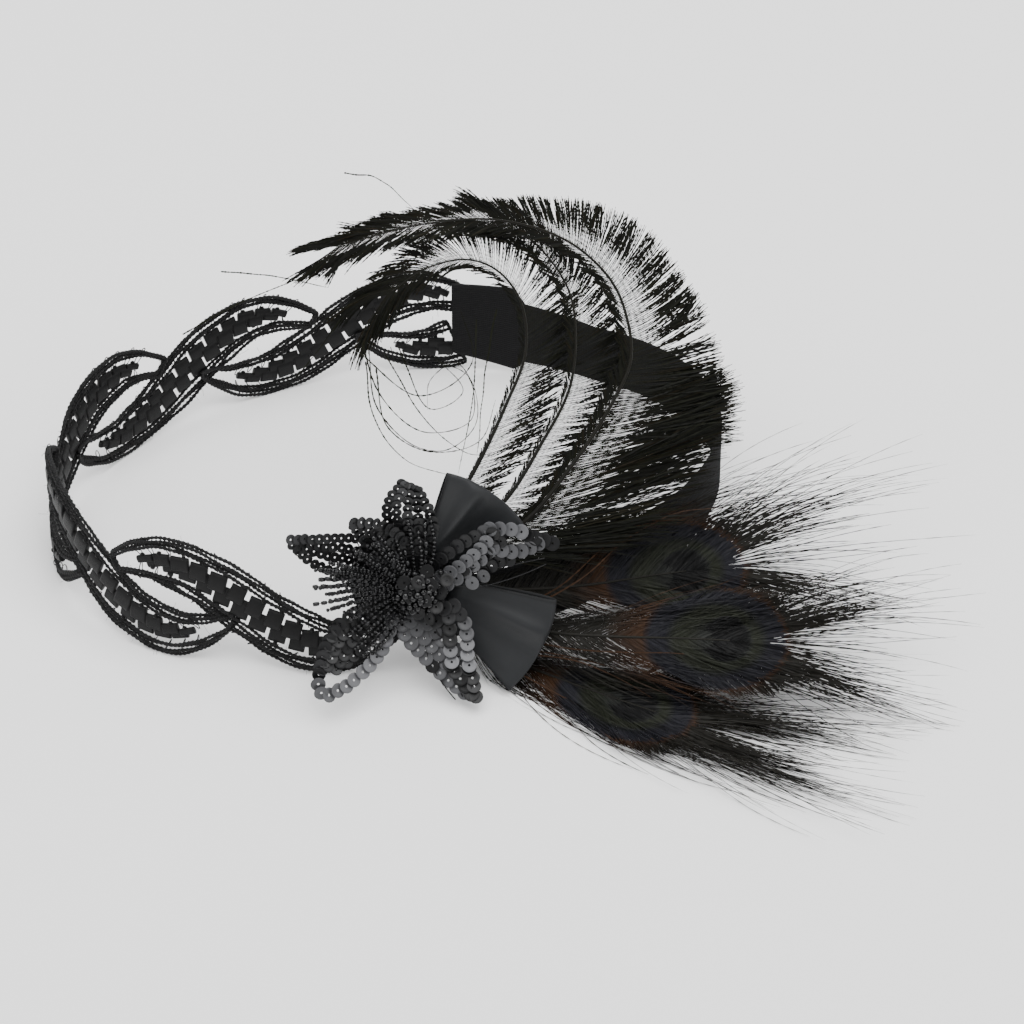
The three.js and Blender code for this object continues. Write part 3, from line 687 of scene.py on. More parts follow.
class TrimSizes(bpy.types.PropertyGroup):
    cord_diameter: length_property(
        "Cord diameter", "Width of one gimp cord", 1.3 * MM)
    cord_pitch: length_property(
        "Cord pitch", "From one cord of a border to the next", 1.22 * MM)
    cords: IntProperty(
        name="Cords in a border", description="Cords laid side by side round a leaf", default=4)
    cord_twist: length_property(
        "Cord twist", "Length of one full turn of a cord's two strands", 3.0 * MM)
    block_pitch: length_property(
        "Block pitch", "From one wrapped block of a row to the next", 5.6 * MM)
    knot_radius: length_property(
        "Knot radius", "Radius of the round loops beside the blocks", 0.75 * MM)
    colour: colour_property(
        "Thread colour", "Colour of cords, blocks and knots", (0.0055, 0.0055, 0.0057))


class ElasticSizes(bpy.types.PropertyGroup):
    rib_pitch: length_property(
        "Rib pitch", "From one lengthwise rib of the knit to the next", 0.8 * MM)
    rib_depth: length_property(
        "Rib depth", "Depth of the grooves between the ribs", 0.22 * MM)
    colour: colour_property(
        "Elastic colour", "Colour of the knitted elastic", (0.006, 0.006, 0.0063))


class FlowerSizes(bpy.types.PropertyGroup):
    sequin_diameter: length_property(
        "Sequin diameter", "Width of a sequin of the flower's centre", 4.4 * MM)
    bead_diameter: length_property(
        "Seed bead diameter", "Width of one seed bead", 1.35 * MM)
    # The sequin colour is the foil at its brightest painted reflection; the tone ramp paints it
    # darker down to unlit foil.
    sequin_colour: colour_property(
        "Sequin colour", "Colour of the sequins' foil", (0.105, 0.106, 0.112))
    bead_colour: colour_property(
        "Bead colour", "Colour of the glass beads", (0.004, 0.004, 0.0045))
    felt_colour: colour_property(
        "Felt colour", "Colour of the pad and the flower's back", (0.005, 0.005, 0.0055))


class RibbonSizes(bpy.types.PropertyGroup):
    thickness: length_property(
        "Ribbon thickness", "Thickness of the satin ribbon", 0.3 * MM)
    colour: colour_property(
        "Ribbon colour", "Colour of the satin", (0.013, 0.0138, 0.0150))


class FeatherSizes(bpy.types.PropertyGroup):
    eye_barb_pitch: length_property(
        "Eye barb pitch", "From one barb of an eye feather to the next", 0.3 * MM)
    barb_width: length_property(
        "Barb width", "Width of a barb at its widest", 0.5 * MM)
    bronze: colour_property(
        "Bronze", "Colour of the barbs beside the eye, towards the quill", (0.034, 0.015, 0.006))
    violet: colour_property(
        "Violet", "Colour of the ring round the eye", (0.0085, 0.0085, 0.0125))
    olive: colour_property(
        "Olive", "Colour of the ring inside the violet one", (0.015, 0.0172, 0.0105))
    heart: colour_property(
        "Heart", "Colour of the eye's dark heart", (0.0008, 0.0009, 0.0013))
    black: colour_property(
        "Plume black", "Colour of the loose barbs and sword feathers", (0.0055, 0.0058, 0.0046))


class StageSizes(bpy.types.PropertyGroup):
    floor_colour: colour_property(
        "Floor colour", "Colour of the plain floor", (0.9, 0.9, 0.9))
    focal_length: FloatProperty(
        name="Focal length", description="Camera's focal length in millimetres",
        default=110.74)
    camera_distance: FloatProperty(
        name="Camera distance", description="From the camera to the headband's middle",
        default=1.0, unit="LENGTH")


GROUPS = {
    "headband_trim": TrimSizes, "headband_elastic": ElasticSizes,
    "headband_flower": FlowerSizes, "headband_ribbon": RibbonSizes,
    "headband_feathers": FeatherSizes, "headband_stage": StageSizes,
}


# Materials

def thread_material(colour):
    material, tree, surface = shader(
        "gimp_thread", 0.6, Specular_IOR_Level=0.16, Sheen_Weight=0.04, Sheen_Roughness=0.5)
    uv = uv_of(tree)
    ply = lay_ply(tree, uv, 1.9, 2.0)
    fibres = lay_fibres(tree, uv, 1.6, 30.0)
    height = raised(tree, fibres, 0.6, ply)
    # Painted light: the ply's crests get a painted highlight, and the valleys between its strands
    # get painted shade.
    light = times(colour, 2.2)
    painted_groove_shade = times(colour, 0.4)
    painted(tree, surface, between(tree, ply.outputs["Valley"], light, painted_groove_shade))
    bumped(tree, surface, height, 0.7, 0.00015)
    return material


def wrap_material(colour):
    """Satin threads wound side by side round the chain's blocks."""
    material, tree, surface = shader(
        "satin_wrap", 0.42, Specular_IOR_Level=0.16, Sheen_Weight=0.015, Sheen_Roughness=0.4)
    uv = uv_of(tree)
    ply = lay_ply(tree, uv, 3.4, 0.0)
    fibres = lay_fibres(tree, uv, 12.0, 3.0)
    # Painted light: each wrap's crest gets a painted highlight, and the grooves between the wraps
    # get painted shade.
    light = times(colour, 1.3)
    painted_groove_shade = times(colour, 0.5)
    painted(tree, surface, between(tree, ply.outputs["Valley"], light, painted_groove_shade))
    height = raised(tree, fibres, 0.4, ply)
    bumped(tree, surface, height, 0.6, 0.00012)
    return material


def elastic_material(colour):
    material, tree, surface = shader(
        "knitted_elastic", 0.75, Specular_IOR_Level=0.1, Sheen_Weight=0.02, Sheen_Roughness=0.5)
    uv = uv_of(tree)
    knit = lay_ply(tree, uv, 1.6, 1.25)
    fibres = lay_fibres(tree, uv, 3.0, 9.0)
    # Painted light: the knit's crests are painted 2.4 times lighter than its grooves, a painted
    # highlight on the ribs.
    light = times(colour, 2.4)
    painted(tree, surface, between(tree, knit.outputs["Valley"], light, colour))
    height = raised(tree, fibres, 0.5, knit)
    bumped(tree, surface, height, 0.6, 0.00012)
    return material


def felt_material(colour):
    material, tree, surface = shader(
        "pressed_felt", 0.95, Specular_IOR_Level=0.1, Sheen_Weight=0.02, Sheen_Roughness=0.5)
    place = node(tree, "ShaderNodeTexCoord").outputs["Object"]
    fibres = lay_fibres(tree, place, 1800.0, 2600.0)
    light = times(colour, 2.5)
    painted(tree, surface, between(tree, fibres.outputs["Mask"], colour, light))
    bumped(tree, surface, fibres.outputs["Height"], 0.8, 0.0003)
    return material


def sequin_material(colour):
    """Flat foil sequins: tone sets the painted reflection on each one, from dark unlit foil to the
    full colour.
    """
    material, tree, surface = shader("sequin_foil", 0.36, Metallic=0.25, Specular_IOR_Level=0.3)
    tone = attribute(tree, "tone")
    shade = ramp(tree, tone, [(0.0, times(colour, 0.05)), (0.45, times(colour, 0.16)),
                              (1.0, colour)])
    painted(tree, surface, shade)
    place = node(tree, "ShaderNodeTexCoord").outputs["Object"]
    scuff = node(tree, "ShaderNodeTexNoise", {"Vector": place, "Scale": 900.0, "Detail": 2.0})
    rough = node(tree, "ShaderNodeMapRange",
                 {"Value": scuff.outputs["Fac"], "To Min": 0.26, "To Max": 0.46})
    painted(tree, surface, rough.outputs["Result"], "Roughness")
    bumped(tree, surface, scuff.outputs["Fac"], 0.12, 0.0001)
    return material


def bead_material(colour):
    material, tree, surface = shader("glass_bead", 0.1, Specular_IOR_Level=0.4)
    tone = attribute(tree, "tone")
    pale = times(colour, 1.8)
    painted(tree, surface, between(tree, tone, colour, pale))
    rough = node(tree, "ShaderNodeMapRange", {"Value": tone, "To Min": 0.08, "To Max": 0.3})
    painted(tree, surface, rough.outputs["Result"], "Roughness")
    return material


def satin_material(colour):
    """Satin ribbon: long floats across the ribbon, with a ribbed selvedge."""
    material, tree, surface = shader(
        "satin_ribbon", 0.42, Specular_IOR_Level=0.26, Sheen_Weight=0.03, Sheen_Roughness=0.35)
    uv = uv_of(tree)
    weave = lay_ply(tree, uv, 5.5, 2.0)
    fibres = lay_fibres(tree, uv, 0.8, 9.0)
    edge = attribute(tree, "mark")
    light = times(colour, 1.35)
    plain = between(tree, fibres.outputs["Mask"], colour, light)
    painted(tree, surface, between(tree, edge, plain, times(colour, 0.55)))
    rough = node(tree, "ShaderNodeMapRange", {"Value": edge, "To Min": 0.4, "To Max": 0.7})
    painted(tree, surface, rough.outputs["Result"], "Roughness")
    height = raised(tree, fibres, 0.8, weave)
    bumped(tree, surface, height, 0.25, 0.00006)
    return material


def quill_material(colour):
    material, tree, surface = shader("quill_horn", 0.5, Specular_IOR_Level=0.15)
    uv = uv_of(tree)
    fibres = lay_fibres(tree, uv, 0.4, 6.0)
    warm = [min(1.0, c + d) for c, d in zip(colour, (0.008, 0.005, 0.002))]
    painted(tree, surface, between(tree, fibres.outputs["Mask"], colour, warm))
    bumped(tree, surface, fibres.outputs["Height"], 0.3, 0.0001)
    return material


def plume_material(colour):
    """Sword feather barbs: black with an olive and brown cast from barb to barb."""
    material, tree, surface = shader(
        "sword_plume_barb", 0.55, Specular_IOR_Level=0.08, Sheen_Weight=0.02, Sheen_Roughness=0.4)
    uv = uv_of(tree)
    tone = attribute(tree, "tone")
    fibres = lay_fibres(tree, uv, 40.0, 2.0)
    olive = [c * k for c, k in zip(colour, (1.7, 1.8, 1.1))]
    brown = [c * k for c, k in zip(colour, (2.4, 1.6, 1.0))]
    cast = ramp(tree, tone, [(0.0, colour), (0.45, times(colour, 1.4)),
                             (0.8, olive), (1.0, brown)])
    painted(tree, surface, between(tree, fibres.outputs["Mask"], cast, times(colour, 0.5)))
    bumped(tree, surface, fibres.outputs["Height"], 0.4, 0.0001)
    return material


def eye_material(sizes):
    """Peacock eye: rings of colour by the mark, which is below 0.1 in the heart, goes from 0.13 at
    the eye's middle to 0.53 at its rim, and up to 1 outside; tone varies from barb to barb."""
    material, tree, surface = shader(
        "peacock_eye_barb", 0.5, Specular_IOR_Level=0.12, Sheen_Weight=0.02, Sheen_Roughness=0.4)
    uv = uv_of(tree)
    tone = attribute(tree, "tone")
    fibres = lay_fibres(tree, uv, 40.0, 2.0)
    loose = [c * k for c, k in zip(sizes.black, (1.25, 1.05, 0.9))]
    inner = [0.5 * a + 0.45 * b for a, b in zip(sizes.olive, sizes.violet)]
    colour = ramp(tree, attribute(tree, "mark"), [
        (0.0, sizes.heart), (0.1, times(sizes.heart, 0.7)), (0.125, inner), (0.22, inner),
        (0.30, sizes.olive), (0.37, times(sizes.olive, 0.8)), (0.42, sizes.violet),
        (0.5, sizes.violet), (0.56, sizes.bronze), (0.72, times(sizes.bronze, 0.6)),
        (1.0, loose)])
    tint = node(tree, "ShaderNodeMapRange", {"Value": tone, "To Min": 0.55, "To Max": 1.35})
    shade = node(tree, "ShaderNodeVectorMath", {0: colour, "Scale": tint.outputs["Result"]},
                 operation="SCALE")
    painted(tree, surface, between(tree, fibres.outputs["Mask"], shade.outputs[0],
                                   times(sizes.black, 0.6)))
    bumped(tree, surface, fibres.outputs["Height"], 0.4, 0.0001)
    return material


# Gimp trim: cords, the fine stitches that bind them, wrapped blocks and loose fibres

LEAF_SHARES = np.linspace(0, 1, 41)
LEAF_TUCK = 0.045  # share of a leaf that goes on below the elastic's start
THREAD_ROUNDING = 0.62
CORD_POINTS = 900
CORD_STEP = 0.4 * MM
CORD_STAGGER = 0.014  # share by which each inner cord turns back before the next outer one
CORD_CLOSEST = 0.32  # share of their pitch to which cords close up at a tip
CORD_PILE = 0.55 * MM
CORD_WAVE = 0.2 * MM
CORD_LAYER = 0.15 * MM
CORD_DIP = 1.3 * MM  # how far a tail lies behind the leaf beside it
STITCH_FROM, STITCH_TO, STITCH_STEP, STITCH_SHIFT = 0.1, 0.91, 0.05, 0.008  # leaf shares
STITCH_RADIUS = 0.16 * MM
STITCH_STAND = 0.95 * MM
STITCH_LEAN = 1.3 * MM
STITCH_ROOM = 0.1 * MM
BLOCK_ROOM = 1.2 * MM  # least room beside a border in which a block still fits
BLOCK_HALF_HEIGHT = 3.1 * MM
BLOCK_HALF_THICKNESS = 1.0 * MM
BLOCK_SIDES = 14
BLOCK_STAGGER = 0.16 * MM
BLOCK_ENDS = np.array([-1, -0.97, -0.8, -0.4, 0, 0.4, 0.8, 0.97, 1])
BLOCK_PLUMPNESS = np.array([0.7, 0.92, 1.0, 0.97, 1.02, 0.97, 1.0, 0.92, 0.7])
FUZZ_COUNT = 150
FUZZ_RADIUS = 0.035 * MM
FRAYED_SHARE = 0.05
FRAYED_LENGTH = 2.6


def leaf_wave(x):
    return np.sin(2 * math.pi * (LEAF_HOOK + (1 - 2 * LEAF_HOOK) * x))


def leaf_half(x):
    inner = np.clip(1 - np.abs(2 * x - 1) ** LEAF_BELLY, 0, None)
    return LEAF_WIDTH / 2 * inner ** LEAF_ROUNDING


def thread_half(x):
    """Half the leaf's width where its threads lie: wider, and drawn out to a tail at each end."""
    share = np.clip((x + TAIL) / (1 + 2 * TAIL), 0, 1)
    return THREAD_HALF * np.sin(math.pi * share) ** THREAD_ROUNDING


def leaf_swing():
    crest = LEAF_SHARES[leaf_wave(LEAF_SHARES) > 0.5]
    return float(((TRIM_HEIGHT / 2 - leaf_half(crest)) / leaf_wave(crest)).min())


LEAF_SWING = leaf_swing()


def leaf_middle(x):
    return TRIM_HEIGHT / 2 - LEAF_SWING * leaf_wave(x)


def leaf_slope(x):
    step = 0.001
    return np.arctan2(leaf_middle(x + step) - leaf_middle(x - step), 2 * step * LEAF_LENGTH)


def leaf_point(x, offset):
    """A point of the flat leaf: along the band and up it."""
    slope = leaf_slope(x)
    return np.stack([x * LEAF_LENGTH - offset * np.sin(slope),
                     leaf_middle(x) + offset * np.cos(slope)], -1)


def leaf_pitch():
    """The pitch at which each leaf's tip comes up against the edge of the one before."""
    lower = leaf_point(LEAF_SHARES, -leaf_half(LEAF_SHARES))
    upper = leaf_point(LEAF_SHARES, leaf_half(LEAF_SHARES))
    pitch = LEAF_LENGTH / 2
    while True:
        over = upper[upper[:, 0] + pitch < LEAF_LENGTH]
        reach = over[:, 0] + pitch
        after = np.array([max(1, int(np.argmax(lower[:, 0] >= r))) for r in reach])
        a, b = lower[after - 1], lower[after]
        height = a[:, 1] + (reach - a[:, 0]) * (b[:, 1] - a[:, 1]) / (b[:, 0] - a[:, 0])
        if (height - over[:, 1]).min() >= 2 * CLEARANCE:
            return pitch
        pitch += 0.1 * MM


LEAF_PITCH = leaf_pitch()
ELASTIC_START = (LEAF_START + (LEAF_COUNT - 1) * LEAF_PITCH + LAST_LEAF_SHARE * LEAF_LENGTH
                 + ELASTIC_GAP)


def leaf_on_band(index, flat, out):
    start = LEAF_START + index * LEAF_PITCH
    return on_band(start + flat[..., 0], flat[..., 1], TRIM_THICKNESS / 2 + out)


def leaf_cords(stock, index, cut, sizes, chance):
    """Border cords: they run round the leaf side by side and close up at its tips."""
    pinch = 2 * sizes.cord_pitch * sizes.cords
    for k in range(sizes.cords):
        turn = np.linspace(-math.pi, math.pi, CORD_POINTS)
        reach = 1 + 2 * TAIL - CORD_STAGGER * k
        x = 0.5 + 0.5 * reach * np.cos(turn)
        keep = x <= cut
        x, turn = x[keep], turn[keep]
        half = thread_half(x)
        close = np.clip(half / pinch, CORD_CLOSEST, 1)
        offset = np.clip(half - (sizes.cord_diameter / 2 + k * sizes.cord_pitch) * close, 0, None)
        phase = chance.uniform(0, 2 * math.pi, 5)
        slit = (0.3 * np.sin(x * 11 + phase[0]) + 0.2 * np.sin(x * 29 + phase[1])
                + 0.12 * np.sin(x * 63 + phase[3])) * MM
        offset = np.sign(turn) * (offset + slit * np.clip(half / (5 * MM), 0, 1))
        flat = leaf_point(x, offset)
        pile = (1 - close) * (k - (sizes.cords - 1) / 2) * CORD_PILE
        out = (pile + CORD_WAVE * np.sin(x * 24 + phase[2])
               + (CORD_LAYER if k % 2 else -CORD_LAYER))
        tail = np.clip(np.abs(2 * x - 1) - 1, 0, 1) / (2 * TAIL)
        out = out - tail * CORD_DIP
        path = np.concatenate([flat, out[:, None]], 1)
        path, run = resample(path, CORD_STEP)
        spots = leaf_on_band(index, path[:, :2], path[:, 2])
        _, _, _, outward = band_axes(LEAF_START + index * LEAF_PITCH + path[:, 0])
        spin = 2 * math.pi * run / sizes.cord_twist + phase[0]
        radius = sizes.cord_diameter / 2 * (1.06 + 0.08 * np.sin(run / (2.7 * MM) + phase[4]))
        tube(stock, spots, radius, outward, sides=6, spin=spin, lobe=0.2,
             run=run / MM, tone=chance.uniform(0.3, 0.7))


def leaf_stitches(stock, index, cut, sizes, chance):
    """Fine threads wound round each border, which hold its cords side by side."""
    width = sizes.cord_diameter + (sizes.cords - 1) * sizes.cord_pitch
    for side in (-1, 1):
        for x in np.arange(STITCH_FROM, min(cut, STITCH_TO), STITCH_STEP):
            x = x + chance.uniform(-STITCH_SHIFT, STITCH_SHIFT)
            turn = np.linspace(0, 2 * math.pi, 13)
            half = float(thread_half(np.array(x)))
            offset = side * (half - width / 2 + (width / 2 + STITCH_ROOM) * np.cos(turn))
            lean = STITCH_LEAN / LEAF_LENGTH
            flat = leaf_point(x + lean * np.cos(turn), offset)
            out = STITCH_STAND * np.sin(turn)
            tube(stock, leaf_on_band(index, flat, out), STITCH_RADIUS,
                 OUT * 0.3 + RIGHT * 0.2 + UP, sides=4, run=turn * 2)


def leaf_blocks(stock, index, cut, sizes, chance):
    """Two staggered rows of wrapped blocks step down the leaf between its borders."""
    inner = sizes.cord_diameter + (sizes.cords - 1) * sizes.cord_pitch
    step = sizes.block_pitch / 2 / LEAF_LENGTH
    knots = []
    for j, x in enumerate(np.arange(step, cut, step)):
        room = float(thread_half(np.array(x))) - inner
        if room < BLOCK_ROOM or x > cut - 0.5 * step:
            continue
        side = 1 if j % 2 else -1
        high = min(BLOCK_HALF_HEIGHT, 0.68 * room) * chance.uniform(0.9, 1.08)
        centre = side * max(0.0, room - high) * 0.8
        long = sizes.block_pitch * chance.uniform(0.44, 0.5)
        turn = np.arange(BLOCK_SIDES) * 2 * math.pi / BLOCK_SIDES
        shape = np.abs(np.cos(turn)) ** 0.6 * np.sign(np.cos(turn))
        thick = np.abs(np.sin(turn)) ** 0.8 * np.sign(np.sin(turn)) * BLOCK_HALF_THICKNESS
        ends = BLOCK_ENDS
        plump = BLOCK_PLUMPNESS * chance.uniform(0.94, 1.04, len(ends))
        slant = chance.uniform(0.1, 0.26)
        along = ends[:, None] * long + slant * shape[None] * high
        up = centre + (shape[None] * high) * (0.86 + 0.14 * plump[:, None])
        up = up - slant * ends[:, None] * long
        slope = float(leaf_slope(np.array(x)))
        base = leaf_point(np.array(x), np.array(0.0))
        flat = np.stack([base[0] + along * math.cos(slope) - up * math.sin(slope),
                         base[1] + along * math.sin(slope) + up * math.cos(slope)], -1)
        out = thick[None] * plump[:, None] + side * BLOCK_STAGGER
        rings = leaf_on_band(index, flat, out)[:, ::-1]
        run = np.concatenate([[ends[0]], ends, [ends[-1]]]) * long / MM + 40 * j
        capped(stock, rings, along=run, tone=chance.uniform(0.2, 0.8))
        if side > 0 or chance.uniform() < 0.5:
            reach = side * (room - 0.1 * MM)
            spot = leaf_point(np.array(x + step * chance.uniform(-0.3, 0.3)), np.array(reach))
            knots.append((spot[0], spot[1], chance.uniform(0.1, 0.6) * MM))
    if knots:
        knots = np.array(knots)
        spots = leaf_on_band(index, knots[:, :2], knots[:, 2])
        _, along, _, _ = band_axes(LEAF_START + index * LEAF_PITCH + knots[:, 0])
        beads(stock, spots, along, sizes.knot_radius, hole=0.1, length=0.9, sides=9, rows=7)


def leaf_fuzz(stock, index, cut, sizes, chance):
    """Short fibres that stand off the cords, and a few frayed ends at the tips."""
    count = int(FUZZ_COUNT * cut)
    x = chance.uniform(0.02, 0.98, count) * cut
    side = chance.choice([-1.0, 1.0], count)
    offset = side * (thread_half(x) - chance.uniform(0, 3, count) * MM)
    flat = leaf_point(x, offset)
    start = leaf_on_band(index, flat, chance.uniform(-0.5, 0.5, count) * MM)
    aim = unit(chance.normal(0, 1, (count, 3)))
    bow = unit(chance.normal(0, 1, (count, 3)))
    length = chance.uniform(0.8, 2.2, count) * MM
    frayed = chance.uniform(size=count) < FRAYED_SHARE
    length = np.where(frayed, length * FRAYED_LENGTH, length)
    u = np.linspace(0, 1, 6)
    paths = (start[:, None] + (length[:, None] * u)[..., None] * aim[:, None]
             + (length[:, None] * 0.5 * u * u)[..., None] * bow[:, None])
    paths[..., 2] = np.maximum(paths[..., 2], 0.1 * MM)
    tube(stock, paths, FUZZ_RADIUS, np.array([0.3, 0.2, 0.93]), sides=3)


# Flower

SEQUIN_RIM = np.array([0.17, 0.6, 0.95, 1.0, 0.97, 0.6, 0.17, 0.17])
SEQUIN_RISE = np.array([0.035, 0.035, 0.1, 0.085, 0.05, -0.03, -0.03, 0.035])
SEQUIN_SIDES = 16
SEQUIN_TILT = 15  # degrees by which each sequin of a string leans on the next
PAINTED_DARK_SHARE = 0.08  # share of the sequins painted dark, as painted shade of foil that reflects no lamp
STRING_ARCH = 1.4 * MM
THREAD_RADIUS = 0.12 * MM
PETAL_THREADS = (-0.55, 0.0, 0.55)
PETAL_THREAD_RADIUS = 0.2 * MM
BEADED_SHARE = 0.3  # a petal that beads cover for more than this share has the many strings
MANY_STRINGS, FEW_STRINGS = 7, 2
FRINGE_SHIFT = 0.9
CLUSTER_COUNT = 46
CLUSTER_TURN = 2.39996
CLUSTER_RADIUS = 7.0 * MM
CLUSTER_DOME_RADIUS = 7.6 * MM
CLUSTER_HEIGHT = 4.0 * MM
CLUSTER_LIFT = 2.2 * MM
CENTRE_SEQUINS = [(3.5, 3.5, 6.6), (-0.5, 4.6, 6.9), (6.5, 0.5, 5.9), (1.5, -1.0, 7.4),
                  (5.0, -4.0, 6.0), (-3.0, 0.5, 6.8), (-0.5, -5.5, 6.2), (2.5, 7.5, 5.4),
                  (-4.5, 4.5, 6.0), (8.5, 4.0, 5.0), (3.0, -8.0, 5.2)]


def petal_place(petal, x, y, z):
    """A point of a petal: along it, across it and above its lower face."""
    angle, length, _, lift, layer = petal[:5]
    turn = math.radians(angle)
    x, y, z = np.broadcast_arrays(np.asarray(x, float), y, z)
    rise = lift * FLOWER_REACH * (np.clip(x, 0, None) / (length * FLOWER_REACH)) ** 1.5
    return np.stack([x * math.cos(turn) - y * math.sin(turn),
                     x * math.sin(turn) + y * math.cos(turn),
                     PETAL_LAYER + layer * LAYER_STEP + z + rise], -1)


def petal_edge(petal, x):
    length, half = petal[1] * FLOWER_REACH, petal[2] * FLOWER_REACH
    share = np.clip((x - PETAL_START) / (length - PETAL_START), 0, 1)
    return np.minimum(half * np.sin(math.pi * (0.16 + 0.8 * share)) ** 0.8, 0.45 * x)


def petal_way(petal, way, height):
    """A way across and up the ornament in mm, laid on a petal's curve."""
    flat = np.asarray(way, float) * MM
    turn = math.radians(petal[0])
    x = flat[:, 0] * math.cos(turn) + flat[:, 1] * math.sin(turn)
    y = flat[:, 1] * math.cos(turn) - flat[:, 0] * math.sin(turn)
    return petal_place(petal, x, y, height)


def sequins(stock, places, normals, diameter, tone, chance):
    """Flat discs with a hole and a raised rim, each turned to its own normal."""
    places, normals = np.asarray(places), unit(normals)
    turn = np.arange(SEQUIN_SIDES) * 2 * math.pi / SEQUIN_SIDES
    side = unit(np.cross(normals, unit(chance.normal(0, 1, places.shape))))
    other = np.cross(normals, side)
    radius = diameter / 2 * chance.uniform(0.96, 1.03, len(places))
    round_ = (np.cos(turn)[None, :, None] * side[:, None]
              + np.sin(turn)[None, :, None] * other[:, None])
    points = (places[:, None, None]
              + (radius[:, None] * SEQUIN_RIM)[..., None, None] * round_[:, None]
              + (radius[:, None] * SEQUIN_RISE)[..., None, None] * normals[:, None, None])
    # tone is each sequin's painted reflection, with a little noise from sequin to sequin.
    tone = np.clip(tone + chance.normal(0, 0.05, len(places)), 0, 1)
    stock.grid(points, wrap=True, tone=tone[:, None, None])


def petal_sequins(stock, name, chance):
    petal = PETALS[name]
    for width, height, first, last, way in SEQUIN_STRINGS[name]:
        path, run = smooth_path(petal_way(petal, way, height * MM), 200)
        count = max(2, int(round(run[-1] / (width * SEQUIN_STEP * MM))) + 1)
        where = np.linspace(0, run[-1], count)
        here = read_off(where, run, path)
        along = unit(read_off(where, run, np.gradient(path, axis=0)))
        facing = np.array([-0.08, 0.2, 0.97]) + chance.normal(0, 0.06, here.shape)
        square = unit(facing - 0.8 * (facing * along).sum(1, keepdims=True) * along)
        tilt = np.radians(chance.normal(SEQUIN_TILT, 3, count))[:, None]
        normal = square * np.cos(tilt) - along * np.sin(tilt)
        here = here + chance.normal(0, 0.1 * MM, here.shape)
        # Painted reflection: tone runs from the string's first to its last value, and a share of
        # the sequins is painted dark as unlit foil.
        tone = first + (last - first) * np.linspace(0, 1, count)
        tone = np.where(chance.uniform(size=count) < PAINTED_DARK_SHARE, 0.1, tone)
        sequins(stock, on_ornament(here), normal @ np.stack([RIGHT, UP, OUT]), width * MM, tone,
                chance)


def strung_beads(stock, petal, way, height, sizes, chance, long=False):
    """One string of seed beads along a way over a petal, on its thread."""
    path, run = smooth_path(petal_way(petal, way, height), 120)
    gap = sizes.bead_diameter * (1.7 if long else 0.94)
    count = max(3, int(run[-1] / gap))
    where = np.linspace(0, run[-1], count)
    path = read_off(where, run, path)
    share = np.linspace(0, 1, count)
    path[:, 2] += STRING_ARCH * np.sin(math.pi * share)
    path = on_ornament(path + chance.normal(0, 0.12 * MM, path.shape))
    axes = unit(np.gradient(path, axis=0))
    size = sizes.bead_diameter / 2 * chance.uniform(0.85, 1.08, count)
    beads(stock, path, axes, size, hole=0.3, length=1.5 if long else 0.74, sides=8, rows=6,
          tone=chance.uniform(0, 1, count)[:, None, None])
    tube(stock, path, THREAD_RADIUS, OUT, sides=4)


# Feathers

BARB_FLOOR = 0.25 * MM
LOCK_TURN, LOCK_LIFT = 0.07, 0.06
BARB_WAVE = 0.05
BARB_TWIST, BARB_CURL = 0.6, 0.4
BARE_WIDTH = 0.26  # share of its width that a barb has where it is bare
TIP_WIDTH = 0.55
STRAND_WAVE = 0.15 * MM
QUILL_TAPER, QUILL_SHARE, QUILL_FLAT = 0.82, 0.85, 0.8
# Loose barbs of an eye feather grow between two shares of the quill and crowd towards its tip
EYE_FROM, EYE_TO, EYE_CROWDING = 0.12, 0.93, 0.7
CROWN_FROM, CROWN_SPREAD = 0.84, 1.9
WISP_SHARE, WISP_WIDTH = 0.22, 0.75
EYE_DRIFT = 0.55
EYE_SWEEP, DISC_SWEEP, SWORD_SWEEP = 0.85, 0.45, 0.2
EYE_ROWS = np.linspace(-1.25, 0.72, 170)
DISC_ANGLE = math.radians(56)
DISC_BARB_WIDTH = 0.85 * MM
DISC_DEPTH = 0.3 * MM
HEART_CENTRE, HEART_LENGTH, HEART_WIDTH = 3 * MM, 7.6 * MM, 7.2 * MM
NOTCH_CENTRE, NOTCH_LENGTH, NOTCH_WIDTH = -5.5 * MM, 4.5 * MM, 3 * MM
SWORD_SHARES = 400
SWORD_BARE = 0.42
SHORT_SHARE = 0.3  # share of a sword feather's barbs that are short
INNER_PITCH = 1.5  # pitch of the inner side's barbs over the outer side's
FALL_FROM = 0.8  # share of a sword feather's quill at which its barbs begin to fall


def smooth_path(points, count=400):
    """A centripetal curve through the points, at even steps."""
    points = np.asarray(points, float)
    ends = [2 * points[0] - points[1], 2 * points[-1] - points[-2]]
    rows = np.concatenate([[ends[0]], points, [ends[1]]])
    out = []
    for a, b, c, d in zip(rows, rows[1:], rows[2:], rows[3:]):
        d0, d1, d2 = (max(np.linalg.norm(q - p) ** 0.5, 1e-6) for p, q in ((a, b), (b, c), (c, d)))
        t1 = (b - a) / d0 - (c - a) / (d0 + d1) + (c - b) / d1
        t2 = (c - b) / d1 - (d - b) / (d1 + d2) + (d - c) / d2
        t1, t2 = t1 * d1, t2 * d1
        t = np.linspace(0, 1, 60, endpoint=False)[:, None]
        out.append(b + t1 * t + (-3 * b + 3 * c - 2 * t1 - t2) * t ** 2
                   + (2 * b - 2 * c + t1 + t2) * t ** 3)
    out = np.concatenate(out + [points[-1:]])
    run = run_of(out)
    even = np.linspace(0, run[-1], count)
    return read_off(even, run, out), even


